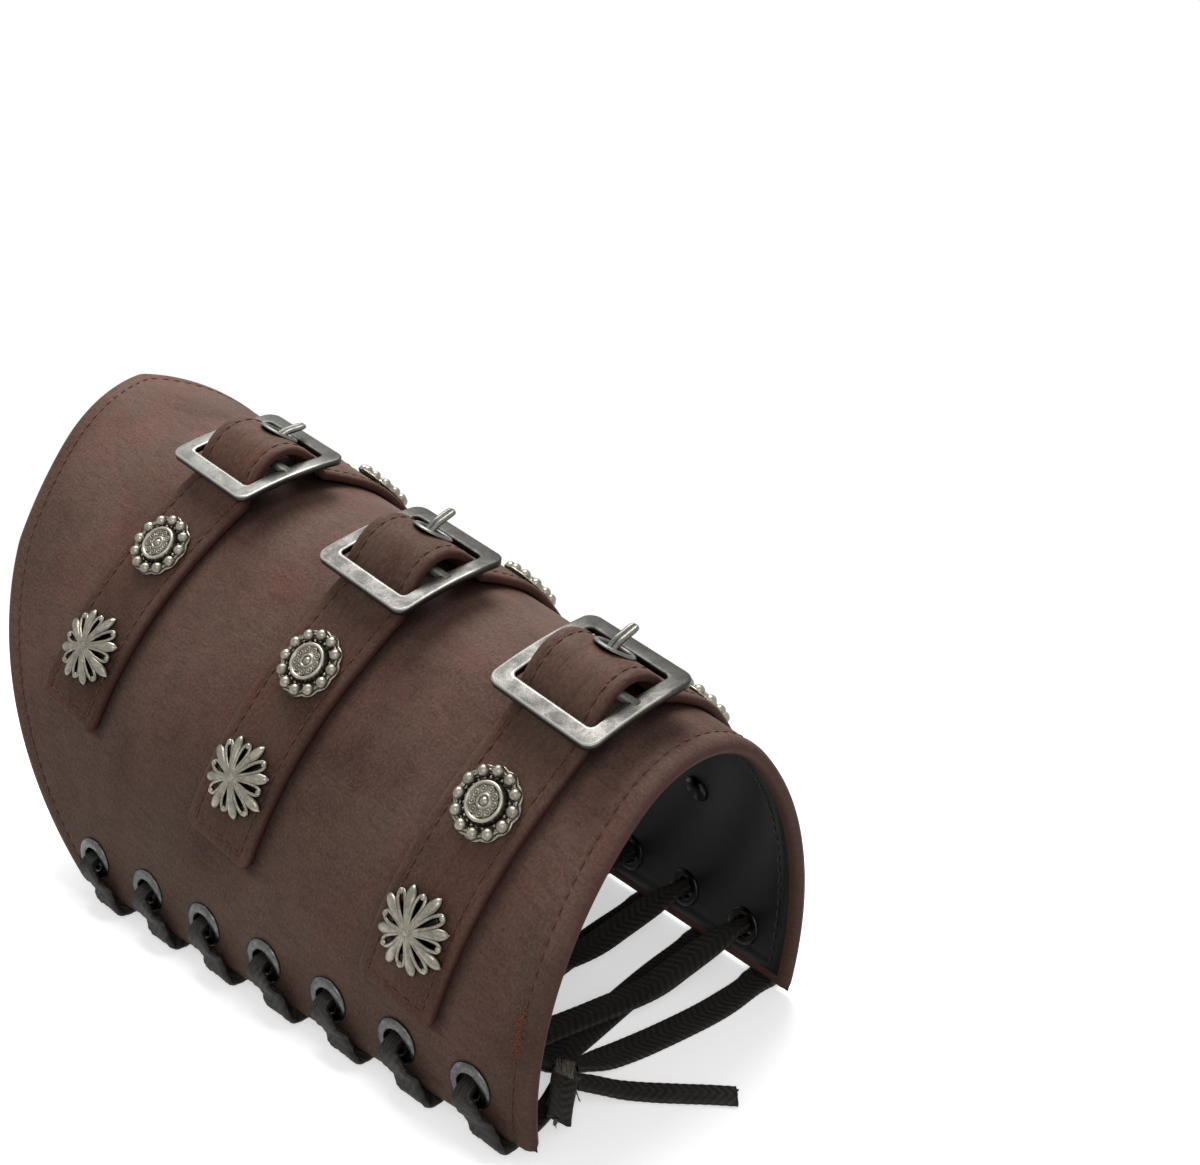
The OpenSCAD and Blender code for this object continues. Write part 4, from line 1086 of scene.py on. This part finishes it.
def stud_rosette(name, x, y):
    m = skin_frame(x, y, SEAT + STRAP_T + SEAT)
    shape = Shape()
    ring_r = (ROSETTE_D - BEAD_D) / 2
    # Base ring, its tone falling towards the leather: painted shade at its foot
    lathe(shape, m, [(1e-4, -0.1, 0), (ring_r + 0.5, -0.1, 0.4), (ring_r + 0.7, 0.25, 0.5),
                     (ring_r, 0.45, 0.4), (6.6, 0.4, 0.25), (5.9, 0.5, 0.2)], 60)
    lathe(shape, m, ROSETTE_FACE, 60)
    for i in range(BEAD_COUNT):
        a = (i + 0.5) * 2 * math.pi / BEAD_COUNT
        ball(shape, m, turned(ring_r, a, BEAD_D * 0.36), BEAD_D * 0.47, 16)
        ball(shape, m, turned(6.6, a, 0.75), 0.65, 8, 1, 0.8)
        ball(shape, m, turned(6.5, a + math.pi / BEAD_COUNT, 0.75), 0.65, 8, 1, 0.85)
    # Scalloped wires round the beads
    t = whole_turn(241)
    scallop = np.abs(np.cos(BEAD_COUNT / 2 * (t - math.pi / BEAD_COUNT)))
    for more, z, w in ((0.85, 0.75, 0.45), (0, 1.2, 0.4), (-0.7, 0.75, 0.34)):
        r = ring_r + more + 0.55 * scallop
        sweep(shape, turned(r, t, z), (0, 0, 1), circle_ring(w, 8), closed=True, tone=0.92, m=m)
    for i in range(SMALL_RINGS):
        c = turned(SMALL_RING_AT, i * 2 * math.pi / SMALL_RINGS, 2.66)
        sweep(shape, c + turned(SMALL_RING_R, whole_turn(17), 0.0), (0, 0, 1),
              circle_ring(0.17, 6), closed=True, m=m)
        ball(shape, m, c, 0.3, 8, 1, 0.95)
    shape.make("beaded_" + name, STUD, "stud_metal", [name])


def dome(r):
    return 4.1 * (1 - 0.8 * (r / (STAR_D / 2)) ** 1.7)


def wire_shading(across):
    """Painted light and shade round a wire: bright on top and dark down its sides."""
    return 0.12 + 0.88 * np.clip(across, 0, 1)


PETALS, PETAL_W, PETAL_SIDES = 8, 1.6, 12
LOOP_SIDE, LOOP_R, LOOP_SIDES, LOOP_FROM = 1.9, 0.62, 8, 0.9


def stud_star(name, x, y, spin):
    m = skin_frame(x, y, SEAT + STRAP_T + SEAT)
    shape = Shape()
    # Base under the petals at tone 0: painted shade in the gaps between them
    lathe(shape, m, [(r, max(0.05, dome(r) - 1.75), 0) for r in np.linspace(0.01, 8.0, 8)]
          + [(8.3, 0.3, 0.1), (8.2, 0, 0.1)], 40)
    ball(shape, m, (0, 0, dome(0) - 0.35), 1.25, 14, 0.6)
    petal_shading = wire_shading(np.sin(turns(PETAL_SIDES)))
    loop_shading = wire_shading(np.cos(turns(LOOP_SIDES)))
    q = 1 - (1 - np.linspace(0.05, 1, 20)) ** 1.4
    blunt = np.sqrt(np.clip(1 - ((q - 0.74) / 0.26) ** 2, 0, 1))
    w = PETAL_W * np.where(q < 0.74, (q / 0.74) ** 1.5, blunt) + 0.3 * (1 - q) + 0.05
    ring = circle_ring(1.0, PETAL_SIDES) * vec(w, np.clip(w * 0.75, 0.3, 1.0))[:, None, :]
    for i in range(PETALS):
        a = spin + i * 2 * math.pi / PETALS
        c, s = math.cos(a), math.sin(a)
        r = q * (STAR_D / 2 * (1.0 if i % 2 == 0 else 0.94))
        line = vec(r * c, r * s, dome(r) - 0.25)
        sweep(shape, line, (-s, c, 0), ring, tone=np.tile(petal_shading, len(line)), m=m)
        # Loop between two petals, with a knob at its end
        a += math.pi / PETALS
        c, s = math.cos(a), math.sin(a)
        far = STAR_D * (0.4 if i % 2 == 0 else 0.44)
        t = whole_turn(41)
        r = LOOP_FROM + (far - LOOP_FROM) * (1 - np.cos(t)) / 2
        side = LOOP_SIDE * np.sin(t) * (r / far) ** 0.9
        line = vec(r * c - side * s, r * s + side * c, dome(r) - 0.45)
        sweep(shape, line, (0, 0, 1), circle_ring(LOOP_R, LOOP_SIDES), closed=True,
              tone=np.tile(loop_shading, len(line)), m=m)
        ball(shape, m, (0.96 * far * c, 0.96 * far * s, dome(far) - 0.1), 1.0, 12, 0.8)
    shape.make("ribbed_" + name, STUD, "stud_metal", [name])


for name, y in STRAP_Y.items():
    for side, s in (("left", -1), ("right", 1)):
        stud_rosette(f"rosette_{name}_{side}", STRAP_OFFSET + s * ROSETTE_AT, y)
        stud_star(f"star_{name}_{side}", STRAP_OFFSET + s * STAR_AT, y, 0.2 + 0.5 * s)


# ---- Rivet caps, eyelets and washers
def inside_seat(x, y, d):
    return BODY_T + SEAT + d * d / (8 * (float(skin_radius(x, y)) - BODY_T))


for name, y in STRAP_Y.items():
    shape = Shape()
    r = CAP_D / 2
    for x in (-ROSETTE_AT, -STAR_AT, ROSETTE_AT, STAR_AT):
        x += STRAP_OFFSET
        # Radius, height and tone: the lower tone at the rim paints shade where the cap meets the
        # lining
        lathe(shape, skin_frame(x, y, -inside_seat(x, y, CAP_D)),
              [(r - 0.2, 0.1, 0.5), (r, -0.3, 1), (r - 0.5, -1.3, 1), (r * 0.62, 0.2 - CAP_H, 0.9),
               (r * 0.3, -CAP_H, 1), (1e-4, -CAP_H, 1)], 32)
    shape.make("rivet_cap_" + name, BLACKENED, "eyelet_metal", ["rivet_caps_" + name])

for side, s in (("left", -1), ("right", 1)):
    rings, backs = Shape(), Shape()
    for k in range(EYELETS):
        x, y = eyelet_place(s, k)
        b, r, w = EYELET_BORE / 2, EYELET_D / 2, WASHER_D / 2
        # Radius, height and tone: the low tones paint shade in the bore and underneath
        ring = [(b, -BODY_T, 0.3), (b, 0.1, 0.6), (b + 0.15, 0.6, 0.8), (b + 0.5, 0.95, 1),
                (b + 1.0, 1.1, 0.95), (r - 1.2, 1.0, 0.8), (r - 0.6, 0.85, 1), (r - 0.15, 0.45, 1),
                (r, 0.1, 0.8), (r - 0.2, -0.3, 0.3), (b + 0.7, -0.3, 0.2), (b + 0.7, -BODY_T, 0.2)]
        lathe(rings, skin_frame(x, y, SEAT), ring, 48, closed=True)
        # The washer's lower tones at its rims paint shade where it meets the lining
        lathe(backs, skin_frame(x, y, -inside_seat(x, y, WASHER_D)),
              [(b, 0.1, 0.4), (b, -0.5, 1), (b + 0.4, -WASHER_T, 1), (w - 0.4, -WASHER_T, 0.9),
               (w, -0.4, 1), (w, 0.1, 0.5)], 40, closed=True)
    rings.make("edge_rings_" + side, GUNMETAL, "eyelet_metal", ["eyelets_" + side])
    backs.make("edge_washers_" + side, BLACKENED, "eyelet_metal", ["eyelet_washers_" + side])


# ---- Floor, light and world
def seen_rays(n):
    """1 for the rays that show the background: to the camera, off metal and through glass."""
    path = n.add("ShaderNodeLightPath")
    seen = n.math("MAXIMUM", path.outputs["Is Camera Ray"], path.outputs["Is Glossy Ray"])
    return n.math("MAXIMUM", seen, path.outputs["Is Transmission Ray"])


def floor():
    """Takes the object's shadow close by and turns to plain white further out."""
    me = bpy.data.meshes.new("floor")
    corners = ((-1, -1), (1, -1), (1, 1), (-1, 1))
    me.from_pydata([(x * FLOOR_HALF, y * FLOOR_HALF, 0) for x, y in corners], [], [(0, 1, 2, 3)])
    mat, n = new_material("floor")
    n.nt.nodes.clear()
    away = n.length(n.coords((MM / FLOOR_SHADOW[0], MM / FLOOR_SHADOW[1], MM), flat=False))
    far = n.range(away, 1, FLOOR_FADE, 0, 1)
    seen = seen_rays(n)
    pale = n.mix(seen, (FLOOR_BOUNCE,) * 3, (0.9, 0.9, 0.9))
    matt = n.add("ShaderNodeBsdfDiffuse")
    n.link(n.mix(n.math("MULTIPLY", far, seen), pale, (0, 0, 0)), matt.inputs["Color"])
    glow = n.add("ShaderNodeEmission")
    own = n.range(far, 0, 1, FLOOR_GLOW, 1)
    n.link(n.math("MULTIPLY", seen, own), glow.inputs["Strength"])
    both = n.add("ShaderNodeAddShader")
    n.feed(both.inputs, (matt.outputs[0], glow.outputs[0]))
    n.link(both.outputs[0], n.add("ShaderNodeOutputMaterial").inputs["Surface"])
    me.materials.append(mat)
    put("floor", me)


def area(name, at, target, size, power):
    data = bpy.data.lights.new(name, "AREA")
    data.shape, data.size, data.energy = "DISK", size, power
    z = unit(np.subtract(at, target))
    put(name, data, frame_of(unit(np.cross((0.01, 0.02, 1.0), z)), z, at))


# Half size in metres, half size of the patch that takes the shadow and how far beyond it that
# fades, colour that lights the object from below, and the floor's own light
FLOOR_HALF, FLOOR_SHADOW, FLOOR_FADE, FLOOR_BOUNCE, FLOOR_GLOW = 6.0, (0.11, 0.17), 1.9, 0.45, 0.5
floor()
area("key", (0.27, 0.4, 1.25), (0, 0, 0.08), 0.85, 19.8)
area("side", (-0.9, -0.9, 0.9), (0, 0, 0.08), 0.7, 4.2)

world = bpy.data.worlds.new("world")
world.use_nodes = True
bpy.context.scene.world = world
n = Nodes(world.node_tree)
sky = n.mix(seen_rays(n), (0.42, 0.42, 0.43), (1.0, 1.0, 1.0))
n.link(sky, world.node_tree.nodes["Background"].inputs["Color"])
bpy.context.scene.view_settings.view_transform = "Standard"
